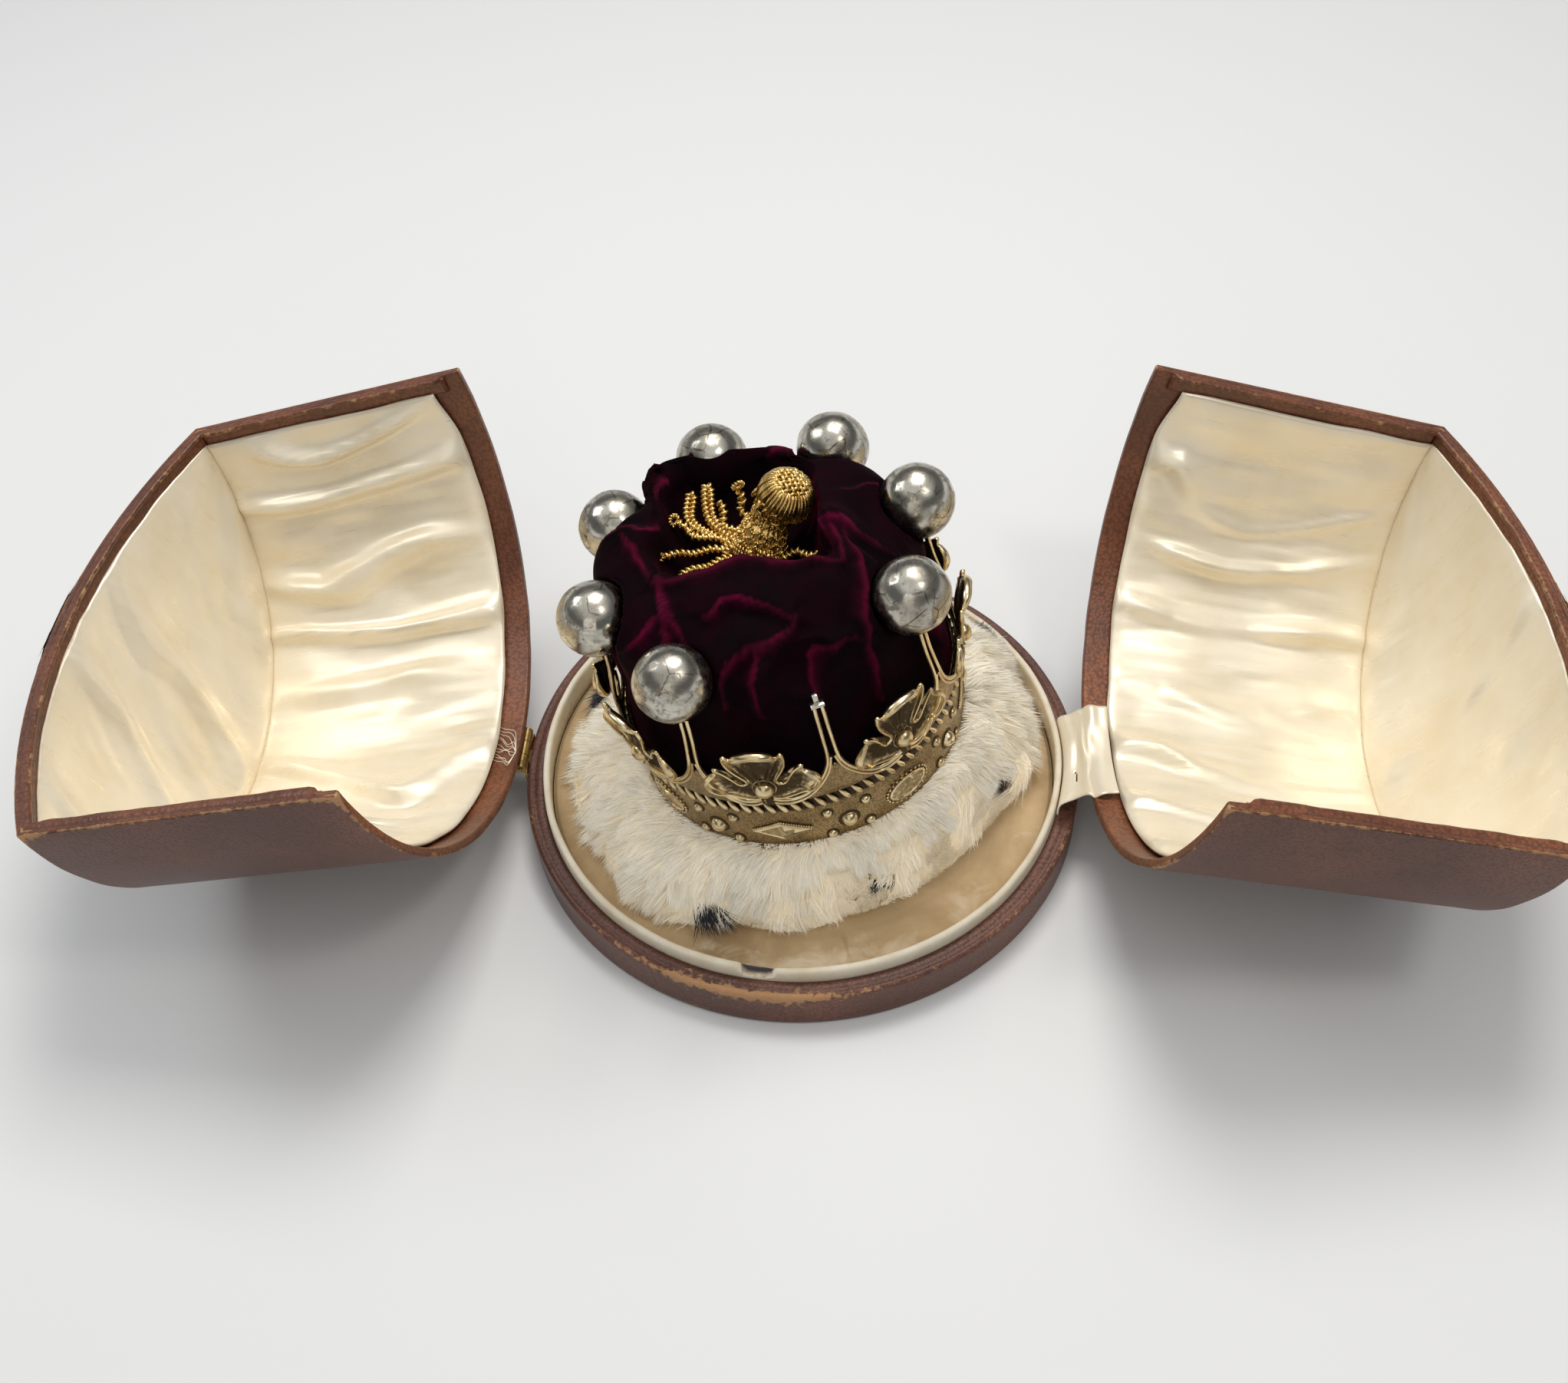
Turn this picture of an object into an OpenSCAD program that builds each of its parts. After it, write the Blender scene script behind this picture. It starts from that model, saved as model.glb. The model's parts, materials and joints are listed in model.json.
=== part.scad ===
// A peer's coronet of silver gilt, with velvet cap, bullion tassel and fur roll, standing on the
// round base of its leather travelling case, whose two half covers lie open at its sides.
// Millimetres. The origin is the middle of the base's underside, +Z up, +X to the right cover.

/* [Case base] */
// Outer radius of the base
base_r = 110; // [108:0.5:114]
// Height of the ledge round the base
base_h = 18; // [16:0.5:20]
// Thickness of the base's board
board_h = 10; // [8:0.5:11]
// Outer radius of the kid collar
collar_r = 103; // [101:0.5:103.2]
// Height of the collar's top edge
collar_top = 24; // [22:0.5:25]
// Thickness of the collar
collar_t = 2.6; // [2:0.1:3]
// Height of the plush floor
floor_z = 14; // [13:0.5:16]

/* [Covers] */
// Outer radius of a cover at its lower edge
cover_r = 107; // [106.5:0.1:108]
// Outer radius of a cover at its shoulder
shoulder_r = 103.5; // [102:0.5:105]
// Height of the cover's wall, from lower edge to shoulder
cover_h = 119; // [117:1:122]
// Rise of the domed end
dome_h = 26; // [24:1:30]
// Thickness of the leather covered shell
shell_t = 3.3; // [3:0.1:3.5]
// Opening angle of each cover
open_angle = 103.8; // [90:0.1:104]
// Distance of a hinge pin from the middle plane
hinge_x = 112; // [112:0.1:113]
// Height of a hinge pin
hinge_z = 20.5; // [20.5:0.1:21]

/* [Coronet] */
// Lean of the coronet to the left, where the fur is pressed down
lean = 9; // [0:0.5:10]
// Sideways place of the coronet's axis at the table
coronet_x = 8.5; // [6:0.5:9]
// Turn of the first ball stalk from the front
turn = -25; // [-30:1:-20]
// Number of stalks, and of leaves between them
stalks = 8; // [8:1:8]
// Inner radius of the band
band_r = 61.3; // [60:0.1:62]
// Height of the band's lower edge
band_low = 35; // [33:1:36]
// Height of the band's upper edge
band_top = 75; // [74:0.5:77]
// Height of the rope moulding's middle
rope_z = 70.2; // [69:0.1:71]
// Height of a leaf's boss
boss_z = 85.5; // [84:0.5:87]
// Height of the top of a stalk's wires
stalk_top = 116.2; // [115:0.1:116.4]
// Radius of the ring on which the balls stand
ball_ring = 60; // [59.5:0.1:60.5]
// Height of a ball's centre
ball_z = 130; // [129.5:0.1:131]
// Radius of a ball
ball_r = 13.3; // [12.5:0.1:13.4]

/* [Cap and fur] */
// Thickness of the velvet
velvet_t = 1.8; // [1.5:0.1:2.5]
// Thickness of the satin lining at its thinnest
satin_t = 1.3; // [1:0.1:1.6]

/* [Hidden] */
$fn = 96;

gap = 0.3;                 // between pieces that don't touch face to face
step = 360 / stalks;
half_gap = 0.2;            // each half cover keeps this from the middle plane
cover_z = base_h + gap;    // lower edge of a closed cover
taper = (cover_r - shoulder_r) / cover_h;
dome_r = (shoulder_r * shoulder_r + dome_h * dome_h) / (2 * dome_h);
dome_c = cover_z + cover_h + dome_h - dome_r;
band_wall = 1.4;

leather = [0.33, 0.17, 0.11];
satin = [0.93, 0.88, 0.76];
kid = [0.86, 0.82, 0.72];
plush = [0.71, 0.6, 0.42];
velvet = [0.22, 0.02, 0.08];
gilt = [0.75, 0.63, 0.38];
bullion = [0.8, 0.63, 0.25];
silver = [0.68, 0.66, 0.6];
fur = [0.93, 0.91, 0.85];
brass = [0.66, 0.53, 0.24];
steel = [0.25, 0.27, 0.3];

// Small helpers

// value of column c in a table of rows sorted by column 0, between rows on a straight line
function look(table, x, c, i = 0) =
    i >= len(table) - 2 || x < table[i + 1][0]
    ? let (f = (x - table[i][0]) / (table[i + 1][0] - table[i][0]))
      table[i][c] + (table[i + 1][c] - table[i][c]) * max(0, min(1, f))
    : look(table, x, c, i + 1);
// azimuth a from the front, brought into 0 to 360
function wrap(a) = a - 360 * floor(a / 360);
// point at azimuth a from the front (-Y), radius r and height z
function polar(a, r, z) = [r * sin(a), -r * cos(a), z];

module coronet_frame() translate([coronet_x, 0, 0]) rotate([0, -lean, 0]) children();

// closed tube of s sides along points p, each with its own radius from list r
module sweep(p, r, s) {
    n = len(p);
    function along(i) = p[min(i + 1, n - 1)] - p[max(i - 1, 0)];
    function unit(v) = v / norm(v);
    rings = [for (i = [0 : n - 1])
        let (t = unit(along(i)), helper = abs(t[2]) > 0.8 ? [1, 0, 0] : [0, 0, 1],
             u = unit(cross(helper, t)), v = cross(t, u))
        for (k = [0 : s - 1]) p[i] + r[i] * (u * cos(k * 360 / s) + v * sin(k * 360 / s))];
    sides = [for (i = [0 : n - 2], k = [0 : s - 1])
        let (a = i * s + k, b = i * s + (k + 1) % s) each [[a, b + s, b], [a, a + s, b + s]]];
    polyhedron(rings, concat([[for (k = [0 : s - 1]) k]], sides,
                             [[for (k = [0 : s - 1]) n * s - 1 - k]]), convexity = 4);
}

// closed solid between two point grids of n rows and m columns, round when ring is true
module skin(outer, inner, n, m, ring = false) {
    shift = n * m;
    cols = ring ? m : m - 1;
    function at(i, k) = i * m + k % m;
    out_faces = [for (i = [0 : n - 2], k = [0 : cols - 1])
        each [[at(i, k), at(i + 1, k), at(i + 1, k + 1)], [at(i, k), at(i + 1, k + 1), at(i, k + 1)]]];
    in_faces = [for (f = out_faces) [f[0] + shift, f[2] + shift, f[1] + shift]];
    ends = [for (k = [0 : cols - 1]) each [
        [at(0, k), at(0, k + 1), at(0, k + 1) + shift], [at(0, k), at(0, k + 1) + shift, at(0, k) + shift],
        [at(n - 1, k), at(n - 1, k) + shift, at(n - 1, k + 1) + shift],
        [at(n - 1, k), at(n - 1, k + 1) + shift, at(n - 1, k + 1)]]];
    sides = ring ? [] : [for (i = [0 : n - 2]) each [
        [at(i, 0), at(i, 0) + shift, at(i + 1, 0) + shift], [at(i, 0), at(i + 1, 0) + shift, at(i + 1, 0)],
        [at(i, m - 1), at(i + 1, m - 1), at(i + 1, m - 1) + shift],
        [at(i, m - 1), at(i + 1, m - 1) + shift, at(i, m - 1) + shift]]];
    polyhedron(concat(outer, inner), concat(out_faces, in_faces, ends, sides), convexity = 6);
}

// Case base

module case_base() color(leather)
    rotate_extrude() polygon([
        [0, 0], [base_r - 1.2, 0], [base_r, 1.2], [base_r, base_h - 1.2], [base_r - 1.2, base_h],
        [base_r - 2.4, base_h], [base_r - 2.8, base_h - 0.4], [base_r - 3.2, base_h],
        [collar_r + 0.1, base_h], [collar_r + 0.1, board_h], [0, board_h]]);

module base_collar() color(kid)
    rotate_extrude() polygon([
        [collar_r - collar_t, board_h], [collar_r, board_h], [collar_r, collar_top - 0.8],
        [collar_r - 0.7, collar_top], [collar_r - collar_t + 0.7, collar_top],
        [collar_r - collar_t, collar_top - 0.8]]);

module base_pad() color(plush)
    rotate_extrude() polygon([
        [0, board_h], [collar_r - collar_t - gap, board_h], [collar_r - collar_t - gap, floor_z - 1.2],
        [collar_r - collar_t - 2.5, floor_z], [0, floor_z]]);

// Circlet: band, rope, jewels, leaves, stalks and pegs, soldered into one

band_out = band_r + band_wall;
wire_r = 0.85;
wire_ring = band_out + 1.2;   // the wires lie on this radius where they pass the leaves
leaf_back = wire_ring + wire_r + 0.35;

module band() translate([0, 0, band_low]) difference() {
    cylinder(h = band_top - band_low, r = band_out, $fn = 64);
    translate([0, 0, -1]) cylinder(h = band_top - band_low + 2, r = band_r, $fn = 64);
}

// rope of square section that turns an eighth from ring to ring, a gadroon for every two rings
module rope() {
    rings = 80;
    half = 2;
    p = [for (i = [0 : rings - 1], k = [0 : 3]) let (q = i * 45 + k * 90)
        polar(i * 360 / rings, band_out + 1.1 + half * cos(q), rope_z + half * sin(q))];
    function at(i, k) = (i % rings) * 4 + k % 4;
    polyhedron(p, [for (i = [0 : rings - 1], k = [0 : 3]) each [
        [at(i, k), at(i + 1, k + 1), at(i + 1, k)], [at(i, k), at(i, k + 1), at(i + 1, k + 1)]]], convexity = 4);
}

module stud(a, z, r, sides) translate(polar(a, band_out - 0.5, z)) rotate([90, 0, a])
    cylinder(h = 0.5 + r * 0.75, r1 = r, r2 = r * 0.35, $fn = sides);

// four small studs round a large one, under each stalk
module cluster(a) {
    stud(a, 55, 3.2, 8);
    for (s = [-1, 1], z = [49.5, 61.5]) stud(a + s * 6.6, z, 1.9, 6);
}

// cut lozenge with a table, and oval stone in a raised collet
module lozenge(a) translate(polar(a, band_out - 0.9, 55)) rotate([90, 0, a])
    hull() {
        linear_extrude(0.4) polygon([[-11, 0], [0, -4.6], [11, 0], [0, 4.6]]);
        linear_extrude(2.9) polygon([[-4.6, 0], [0, -1.8], [4.6, 0], [0, 1.8]]);
    }

module oval(a) translate(polar(a, band_out - 0.9, 56)) rotate([90, 0, a]) hull() {
    linear_extrude(1.8) scale([8.6, 5.2]) circle(1, $fn = 12);
    linear_extrude(3.2) scale([4.6, 2.2]) circle(1, $fn = 12);
}

// wire from the top of a stalk down and round to the foot of the next leaf, side s
// columns: degrees from the stalk, height, radius
wire_path = [
    [1.3, stalk_top, ball_ring + 0.8],
    [1.4, 103, 62.1],
    [1.7, 92.5, wire_ring],
    [6, 83, wire_ring],
    [11.5, 78.9, wire_ring],
    [16.5, 77.4, wire_ring],
    [21.1, 77.8, wire_ring]];

module wires(a) for (s = [-1, 1])
    sweep([for (w = wire_path) polar(a + s * w[0], w[2], w[1])], [for (w = wire_path) wire_r], 5);

// plate in the Y under a stalk, from the rope up to just under the wires
module web(a) rotate([0, 0, a]) intersection() {
    difference() {
        cylinder(h = 100, r = wire_ring + 0.4);
        translate([0, 0, -1]) cylinder(h = 102, r = wire_ring - 0.4);
    }
    rotate([90, 0, 0]) linear_extrude(80) polygon([[-12, rope_z], [-12, 77.6], [-5.7, 82], [-1.9, 89.6],
                                                   [1.9, 89.6], [5.7, 82], [12, 77.6], [12, rope_z]]);
}

module peg(a) {
    translate(polar(a, ball_ring + 0.8, stalk_top - 1)) rotate([0, 0, a]) translate([-2.5, -1.4, 0]) cube([5, 2.8, 1.2]);
    translate(polar(a, ball_ring, stalk_top - 0.9)) rotate([0, 0, a]) translate([-1, -1, 0]) cube([2, 2, 4.8]);
}

// a leaf stands on a foot on the rope: one cupped sheet round its boss, cut into three lobes whose rims curl outwards
// rim on one side; columns: degrees from upright, reach from the boss, lift of the rim
leaf_rim = [[0, 23, 2.4], [17, 22, 2.1], [28, 16.5, 1.2], [38, 9.5, 0.2], [49, 15.5, 1.1], [65, 19.5, 2],
            [82, 19, 1.8], [100, 14, 0.9], [117, 8.5, 0.2]];
// from boss to rim; columns: share of the reach, lift of the hollow, share of the rim's lift
leaf_rows = [[0.06, 0.7, 0], [0.5, 0, 0], [0.84, 0.1, 0.35], [1, 0, 1]];
leaf_t = 0.9;

module leaf(a) {
    n = len(leaf_rows);
    m = len(leaf_rim);
    function pt(t, c, up) = let (
        row = leaf_rim[abs(c)], reach = max(1.6, row[1] * leaf_rows[t][0]),
        x = reach * sin(row[0]) * sign(c), z = reach * cos(row[0]),
        r = leaf_back + leaf_rows[t][1] + leaf_rows[t][2] * row[2] + max(0, z) * 0.07)
        polar(a + x / leaf_back * 57.3, r + up, boss_z + z);
    skin([for (t = [0 : n - 1], c = [1 - m : m - 1]) pt(t, c, leaf_t)],
         [for (t = [0 : n - 1], c = [1 - m : m - 1]) pt(t, c, 0)], n, 2 * m - 1);
    translate(polar(a, leaf_back + 0.6, boss_z)) rotate([9, 0, a + 11]) sphere(3.3, $fn = 8);
    translate(polar(a, wire_ring, rope_z - 0.2)) rotate([0, 0, a])
        translate([-2.1, -1.1, 0]) cube([4.2, 2.2, boss_z - rope_z - 1.2]);
}

module circlet() color(gilt) coronet_frame() {
    band();
    rope();
    for (k = [0 : stalks - 1]) {
        a = turn + k * step;
        cluster(a);
        wires(a);
        web(a);
        peg(a);
        leaf(a + step / 2);
        if (k % 2 == 0) lozenge(a + step / 2);
        else oval(a + step / 2);
    }
}

// the balls are drilled for the pegs
module ball(k) color(silver) coronet_frame()
    translate(polar(turn + k * step, ball_ring, ball_z)) difference() {
        sphere(ball_r);
        translate([0, 0, -ball_r - 1]) cylinder(h = 6, r = 1.7);
    }

// Cap: rows from the hidden lower edge up over the shoulder and down into the well
// columns: height, radius of the wall, share of the way to the well's rim, share from there to its middle
cap_rows = [
    [41, 61, 0, 0], [58, 61, 0, 0], [75, 60.9, 0, 0], [88, 59.6, 0, 0], [100, 58.6, 0, 0],
    [111, 58.6, 0.03, 0], [121, 59, 0.11, 0], [130, 58.5, 0.25, 0], [137.5, 58, 0.47, 0], [142, 58, 0.75, 0],
    [143.5, 58, 1, 0], [138, 58, 1, 0.2], [128, 58, 1, 0.44], [118, 58, 1, 0.68], [113.5, 58, 1, 0.93]];
well = [-3, 12];
// columns: azimuth, radius of the well's rim from the well's middle
rim_table = [[0, 27], [45, 34], [90, 31], [135, 36], [180, 31], [225, 38], [270, 46], [315, 35], [360, 27]];
cap_cols = 40;

// folds run down from the rim and drift to the side
function cap_fold(a, z) = 1.5 * sin(5 * a + z * 2.6) + 0.9 * sin(11 * a - z * 3.4 + 40);
// a ball, or the place of the lost one, presses its own shape into the velvet
function pressed(p, z) = let (
    r = norm(p), a = atan2(p[0], -p[1]), off = wrap(a - turn + step / 2) % step - step / 2,
    room = pow(ball_r + 1.9, 2) - pow(z - ball_z, 2) - pow(ball_ring * sin(off), 2),
    most = room > 0 ? ball_ring * cos(off) - sqrt(room) : 999)
    p * min(1, most / r);
function cap_point(a, row) = let (
    z = row[0], loose = max(0, min(1, (z - 100) / 16)),
    rim = well + look(rim_table, wrap(a), 1) * [sin(a), -cos(a)],
    wall = row[1] * [sin(a), -cos(a)],
    side = wall + (rim - wall) * row[2],
    flat = side + (well - side) * row[3],
    fold = cap_fold(a, z) * loose * (row[3] > 0 ? 0.5 : 1),
    p = pressed(flat + fold * [sin(a), -cos(a)], z))
    [p[0], p[1], z + (row[3] > 0.9 ? 0 : fold * row[2] * 0.9)];

module cap() {
    n = len(cap_rows);
    function unit(v) = v / norm(v);
    pts = [for (i = [0 : n - 1]) [for (k = [0 : cap_cols - 1]) cap_point(turn + k * 360 / cap_cols, cap_rows[i])]];
    function inward(i, k) = let (
        down = pts[min(i + 1, n - 1)][k] - pts[max(i - 1, 0)][k],
        round = pts[i][(k + 1) % cap_cols] - pts[i][(k + cap_cols - 1) % cap_cols])
        unit(cross(down, round));
    top = [for (i = [0 : n - 1], k = [0 : cap_cols - 1]) pts[i][k]];
    under = [for (i = [0 : n - 1], k = [0 : cap_cols - 1]) pts[i][k] + inward(i, k) * velvet_t];
    shift = n * cap_cols;
    function at(i, k) = i * cap_cols + k % cap_cols;
    faces = [for (i = [0 : n - 2], k = [0 : cap_cols - 1])
        each [[at(i, k), at(i + 1, k), at(i + 1, k + 1)], [at(i, k), at(i + 1, k + 1), at(i, k + 1)]]];
    lower = [for (k = [0 : cap_cols - 1]) each [
        [at(0, k), at(0, k + 1), at(0, k + 1) + shift], [at(0, k), at(0, k + 1) + shift, at(0, k) + shift]]];
    floor_top = [for (k = [0 : cap_cols - 1]) at(n - 1, cap_cols - 1 - k)];
    floor_under = [for (k = [0 : cap_cols - 1]) at(n - 1, k) + shift];
    color(velvet) coronet_frame() polyhedron(concat(top, under), concat(
        faces, [for (f = faces) [f[0] + shift, f[2] + shift, f[1] + shift]],
        lower, [floor_top], [floor_under]), convexity = 8);
}

// Tassel, lying in the well and leaning to the right
tassel_foot = [-10, 14, 123.5];
tassel_neck = [6, 19, 137];
tassel_head = [11, 21, 141.5];
// legs; columns: azimuth of the leg, length, rise of its tip
legs = [[-28, 14, 9], [-56, 18, 11], [-84, 22, 13], [-108, 20, 14], [-132, 17, 16], [-158, 14, 16], [96, 22, 9]];

module tassel() color(bullion) coronet_frame() {
    sweep([tassel_foot, tassel_foot * 0.75 + tassel_neck * 0.25, tassel_foot * 0.3 + tassel_neck * 0.7, tassel_neck],
          [7.4, 7.8, 6.6, 5], 10);
    translate(tassel_head) rotate([0, 35, 12]) scale([10, 10, 8.4]) sphere(1, $fn = 10);
    for (l = legs) {
        way = [sin(l[0]), -cos(l[0]), 0];
        start = tassel_foot + way * 4 + [0, 0, 1];
        tip = tassel_foot + way * l[1] + [0, 0, l[2]];
        sweep([start, (start + tip) / 2 + [0, 0, 1.5], tip], [1.6, 1.5, 1.4], 6);
        translate(tip + way * 1.9) rotate([20, 0, l[0]]) rotate_extrude($fn = 7) translate([1.9, 0]) circle(0.8, $fn = 4);
    }
}

// Ermine: a roll under and outside the band, flat where it rests, its face broken into locks
// columns: azimuth, outer radius from the middle of the base
fur_table = [[0, 85], [35, 82], [60, 84], [90, 91], [125, 94], [180, 90], [270, 91.5], [330, 88], [360, 85]];
fur_cols = 64;
fur_in = 57;
fur_rest = floor_z + gap;
fur_top = 46.5;
// section outside the band; columns: share outwards, share of the height, length of the locks
fur_rows = [[0, 1, 0], [0.2, 1, 0.8], [0.42, 0.9, 1.5], [0.64, 0.72, 2], [0.84, 0.5, 2.2], [0.98, 0.25, 2], [0.92, 0, 0]];

function lean_x(x, z) = coronet_x + x * cos(lean) - z * sin(lean);
function lean_z(x, z) = x * sin(lean) + z * cos(lean);
// point at azimuth a and radius r round the band's own axis, at height h over the table
function fur_level(a, r, h) = [lean_x(r * sin(a), (h - r * sin(a) * sin(lean)) / cos(lean)), -r * cos(a), h];
function fur_edge(a) = min(fur_top, lean_z(band_out * sin(a), 46.5));
// inside of the section: under the band's lower edge and up its outer face
function fur_core(a, i) =
    i == 0 ? fur_level(a, fur_in, fur_rest) :
    let (r = i == 1 ? fur_in : band_out + gap, z = band_low - gap) [lean_x(r * sin(a), z), -r * cos(a), lean_z(r * sin(a), z)];
function fur_face(k, i) = let (
    a = k * 360 / fur_cols, row = fur_rows[i], edge = fur_level(a, band_out + gap, fur_edge(a)),
    rim = look(fur_table, a, 1) * [sin(a), -cos(a)] + [2.5, 0],
    lock = row[2] * ((k + i) % 2 == 0 ? 0.9 : -0.5) * (1 + 0.3 * sin(k * 115)),
    x = edge[0] + (rim[0] - edge[0]) * row[0] + lock * sin(a),
    y = edge[1] + (rim[1] - edge[1]) * row[0] - lock * cos(a))
    [x, y, fur_rest + (edge[2] - fur_rest) * row[1] - (row[2] > 0 ? lock * 0.45 : 0)];

module ermine() {
    n = len(fur_rows) + 3;
    pts = [for (k = [0 : fur_cols - 1], i = [0 : n - 1]) i < 3 ? fur_core(k * 360 / fur_cols, i) : fur_face(k, i - 3)];
    function at(k, i) = (k % fur_cols) * n + i % n;
    color(fur) polyhedron(pts, [for (k = [0 : fur_cols - 1], i = [0 : n - 1]) each [
        [at(k, i), at(k + 1, i + 1), at(k, i + 1)], [at(k, i), at(k + 1, i), at(k + 1, i + 1)]]], convexity = 8);
}

// Covers, modelled closed on the left of the middle plane and then swung open

module swing() translate([-hinge_x, 0, hinge_z]) rotate([0, -open_angle, 0]) translate([hinge_x, 0, -hinge_z]) children();
module left_open() swing() children();
module right_open() mirror([1, 0, 0]) swing() children();

// radius of the cover's wall, at a height above its lower edge, set in from the outside
function wall_r(z, inset) = cover_r - taper * z - inset;

// half of a closed bell: tapered wall under a dome, set in from the outside
module bell(inset, low = 0) intersection() {
    high = cover_h + dome_h + 4;
    translate([0, 0, cover_z + low])
        cylinder(h = high - low, r1 = wall_r(low, inset), r2 = wall_r(high, inset), $fn = 128);
    translate([0, 0, dome_c]) sphere(dome_r - inset, $fn = 128);
}

module left_half(inset = 0) translate([-200, -150, -10]) cube([200 - half_gap - inset, 300, 220]);

catch_size = [6, 16, 1.2];
module catch_slot(extra) translate([-half_gap - catch_size[0] - extra, -catch_size[1] / 2 - extra,
        dome_c + dome_r - shell_t / 2 - catch_size[2] / 2 - extra])
    cube([catch_size[0] + extra + (extra > 0 ? 1 : -0.4), catch_size[1] + 2 * extra, catch_size[2] + 2 * extra]);

module half_shell() intersection() {
    difference() {
        bell(0);
        translate([0, 0, -0.01]) bell(shell_t);
    }
    left_half();
}

module left_shell() color(leather) left_open() difference() {
    half_shell();
    catch_slot(0.15);
}
module left_catch() color(steel) left_open() catch_slot(0);
module right_shell() color(leather) right_open() half_shell();

// wave folds of the side lining run along the cover, from its lower edge to the shoulder
lining_low = 9;
lining_edge = 6;
end_low = cover_h - 3;
fold_cols = 25;
fold_rows = 5;
function fold_depth(u, v) = 1.5 * (1 + sin(6.2 * u + 34 * sin(v * 2.1 + u) + 20));
module half_side_lining() {
    span = 90 - asin(lining_edge / shoulder_r);
    function pt(i, k, inset) = let (
        z = lining_low + (end_low - lining_low) * i / (fold_rows - 1),
        a = -span + 2 * span * k / (fold_cols - 1), r = wall_r(z, shell_t + gap) - inset)
        [-r * cos(a), r * sin(a), cover_z + z];
    function thick(i, k) = satin_t + fold_depth(-90 + 180 * k / (fold_cols - 1), i * 180 / (fold_rows - 1))
        * (i == 0 || i == fold_rows - 1 || k == 0 || k == fold_cols - 1 ? 0.2 : 1);
    skin([for (i = [0 : fold_rows - 1], k = [0 : fold_cols - 1]) pt(i, k, thick(i, k))],
         [for (i = [0 : fold_rows - 1], k = [0 : fold_cols - 1]) pt(i, k, 0)], fold_rows, fold_cols);
}

module half_end_lining() intersection() {
    difference() {
        bell(shell_t + gap, end_low + 0.4);
        translate([0, 0, dome_c]) sphere(dome_r - shell_t - gap - satin_t - 0.5, $fn = 128);
    }
    left_half(lining_edge);
}

module left_side_lining() color(satin) left_open() half_side_lining();
module right_side_lining() color(satin) right_open() half_side_lining();
module left_end_lining() color(satin) left_open() half_end_lining();
module right_end_lining() color(satin) right_open() half_end_lining();

// satin strip from the collar over the lip of the open right cover
strip_rows = 8;
// the lip: inner lower edge of the open cover, at a distance y from the middle
function lip(y) = let (dx = hinge_x - sqrt(pow(cover_r - shell_t, 2) - y * y), dz = cover_z - hinge_z)
    [hinge_x - dx * cos(open_angle) + dz * sin(open_angle), hinge_z + dx * sin(open_angle) + dz * cos(open_angle)];
module hinge_strip() {
    function pt(j, i, lift) = let (y = -32 + 42 * j / (strip_rows - 1), c = lip(y),
        a = [sqrt(pow(collar_r + 0.5, 2) - y * y), 21.5], sag = 0.4 * sin(j * 110 + i * 70),
        p = i == 0 ? a : i == 1 ? a + [0.9, 3.6] : i == 2 ? (a + c) / 2 + [0.5, 1.6 + sag] :
            i == 3 ? c + [-1.7, -0.6] : i == 4 ? c + [0.3, 1.3] : i == 5 ? c + [4.4, 1.6 + sag] : c + [8.8, 1])
        [p[0], y, p[1] + lift];
    color(satin) skin([for (j = [0 : strip_rows - 1], i = [0 : 6]) pt(j, i, 1)],
         [for (j = [0 : strip_rows - 1], i = [0 : 6]) pt(j, i, 0)], strip_rows, 7);
}

// Hinges: two knuckles on the base, one on the cover, a pin through all three
knuckle_r = 2.2;
pin_r = 0.9;
bore_r = 0.95;
hinge_half = 10;
mid_half = 3.3;

module tube(y0, y1) translate([-hinge_x, y1, hinge_z]) rotate([90, 0, 0]) cylinder(h = y1 - y0, r = knuckle_r, $fn = 32);
module bore() translate([-hinge_x, hinge_half + 1, hinge_z]) rotate([90, 0, 0])
    cylinder(h = 2 * hinge_half + 2, r = bore_r, $fn = 32);

module half_hinge_base() difference() {
    union() {
        for (s = [-1, 1]) tube(s > 0 ? mid_half + gap : -hinge_half, s > 0 ? hinge_half : -mid_half - gap);
        intersection() {
            rotate_extrude() translate([base_r, 6]) square([1, 13]);
            translate([-120, -hinge_half, 0]) cube([20, 2 * hinge_half, 30]);
        }
    }
    bore();
    translate([-hinge_x - 3, -mid_half - gap, hinge_z - 4]) cube([6, 2 * (mid_half + gap), 8]);
}

module half_hinge_pin() translate([-hinge_x, hinge_half + 0.6, hinge_z]) rotate([90, 0, 0])
    cylinder(h = 2 * hinge_half + 1.2, r = pin_r, $fn = 32);

module half_hinge_cover() difference() {
    union() {
        tube(-mid_half, mid_half);
        translate([0, mid_half, 0]) rotate([90, 0, 0]) linear_extrude(2 * mid_half)
            polygon([[-hinge_x + 0.3, hinge_z + 1], [-cover_r - 0.3, hinge_z + 2.9], [-cover_r - 0.3, hinge_z + 5],
                     [-hinge_x - 0.6, hinge_z + 1.6]]);
        intersection() {
            translate([0, 0, cover_z]) difference() {
                cylinder(h = 20, r1 = cover_r + 1.2, r2 = cover_r + 1.2 - taper * 20, $fn = 128);
                translate([0, 0, -1])
                    cylinder(h = 22, r1 = cover_r + 0.2 + taper, r2 = cover_r + 0.2 - taper * 21, $fn = 128);
            }
            translate([-120, -hinge_half, hinge_z + 2.6]) cube([20, 2 * hinge_half, 12]);
        }
    }
    bore();
}

module left_hinge_base() color(brass) half_hinge_base();
module left_hinge_pin() color(brass) half_hinge_pin();
module left_hinge_cover() color(brass) left_open() half_hinge_cover();
module right_hinge_base() color(brass) mirror([1, 0, 0]) half_hinge_base();
module right_hinge_pin() color(brass) mirror([1, 0, 0]) half_hinge_pin();
module right_hinge_cover() color(brass) right_open() half_hinge_cover();

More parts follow.
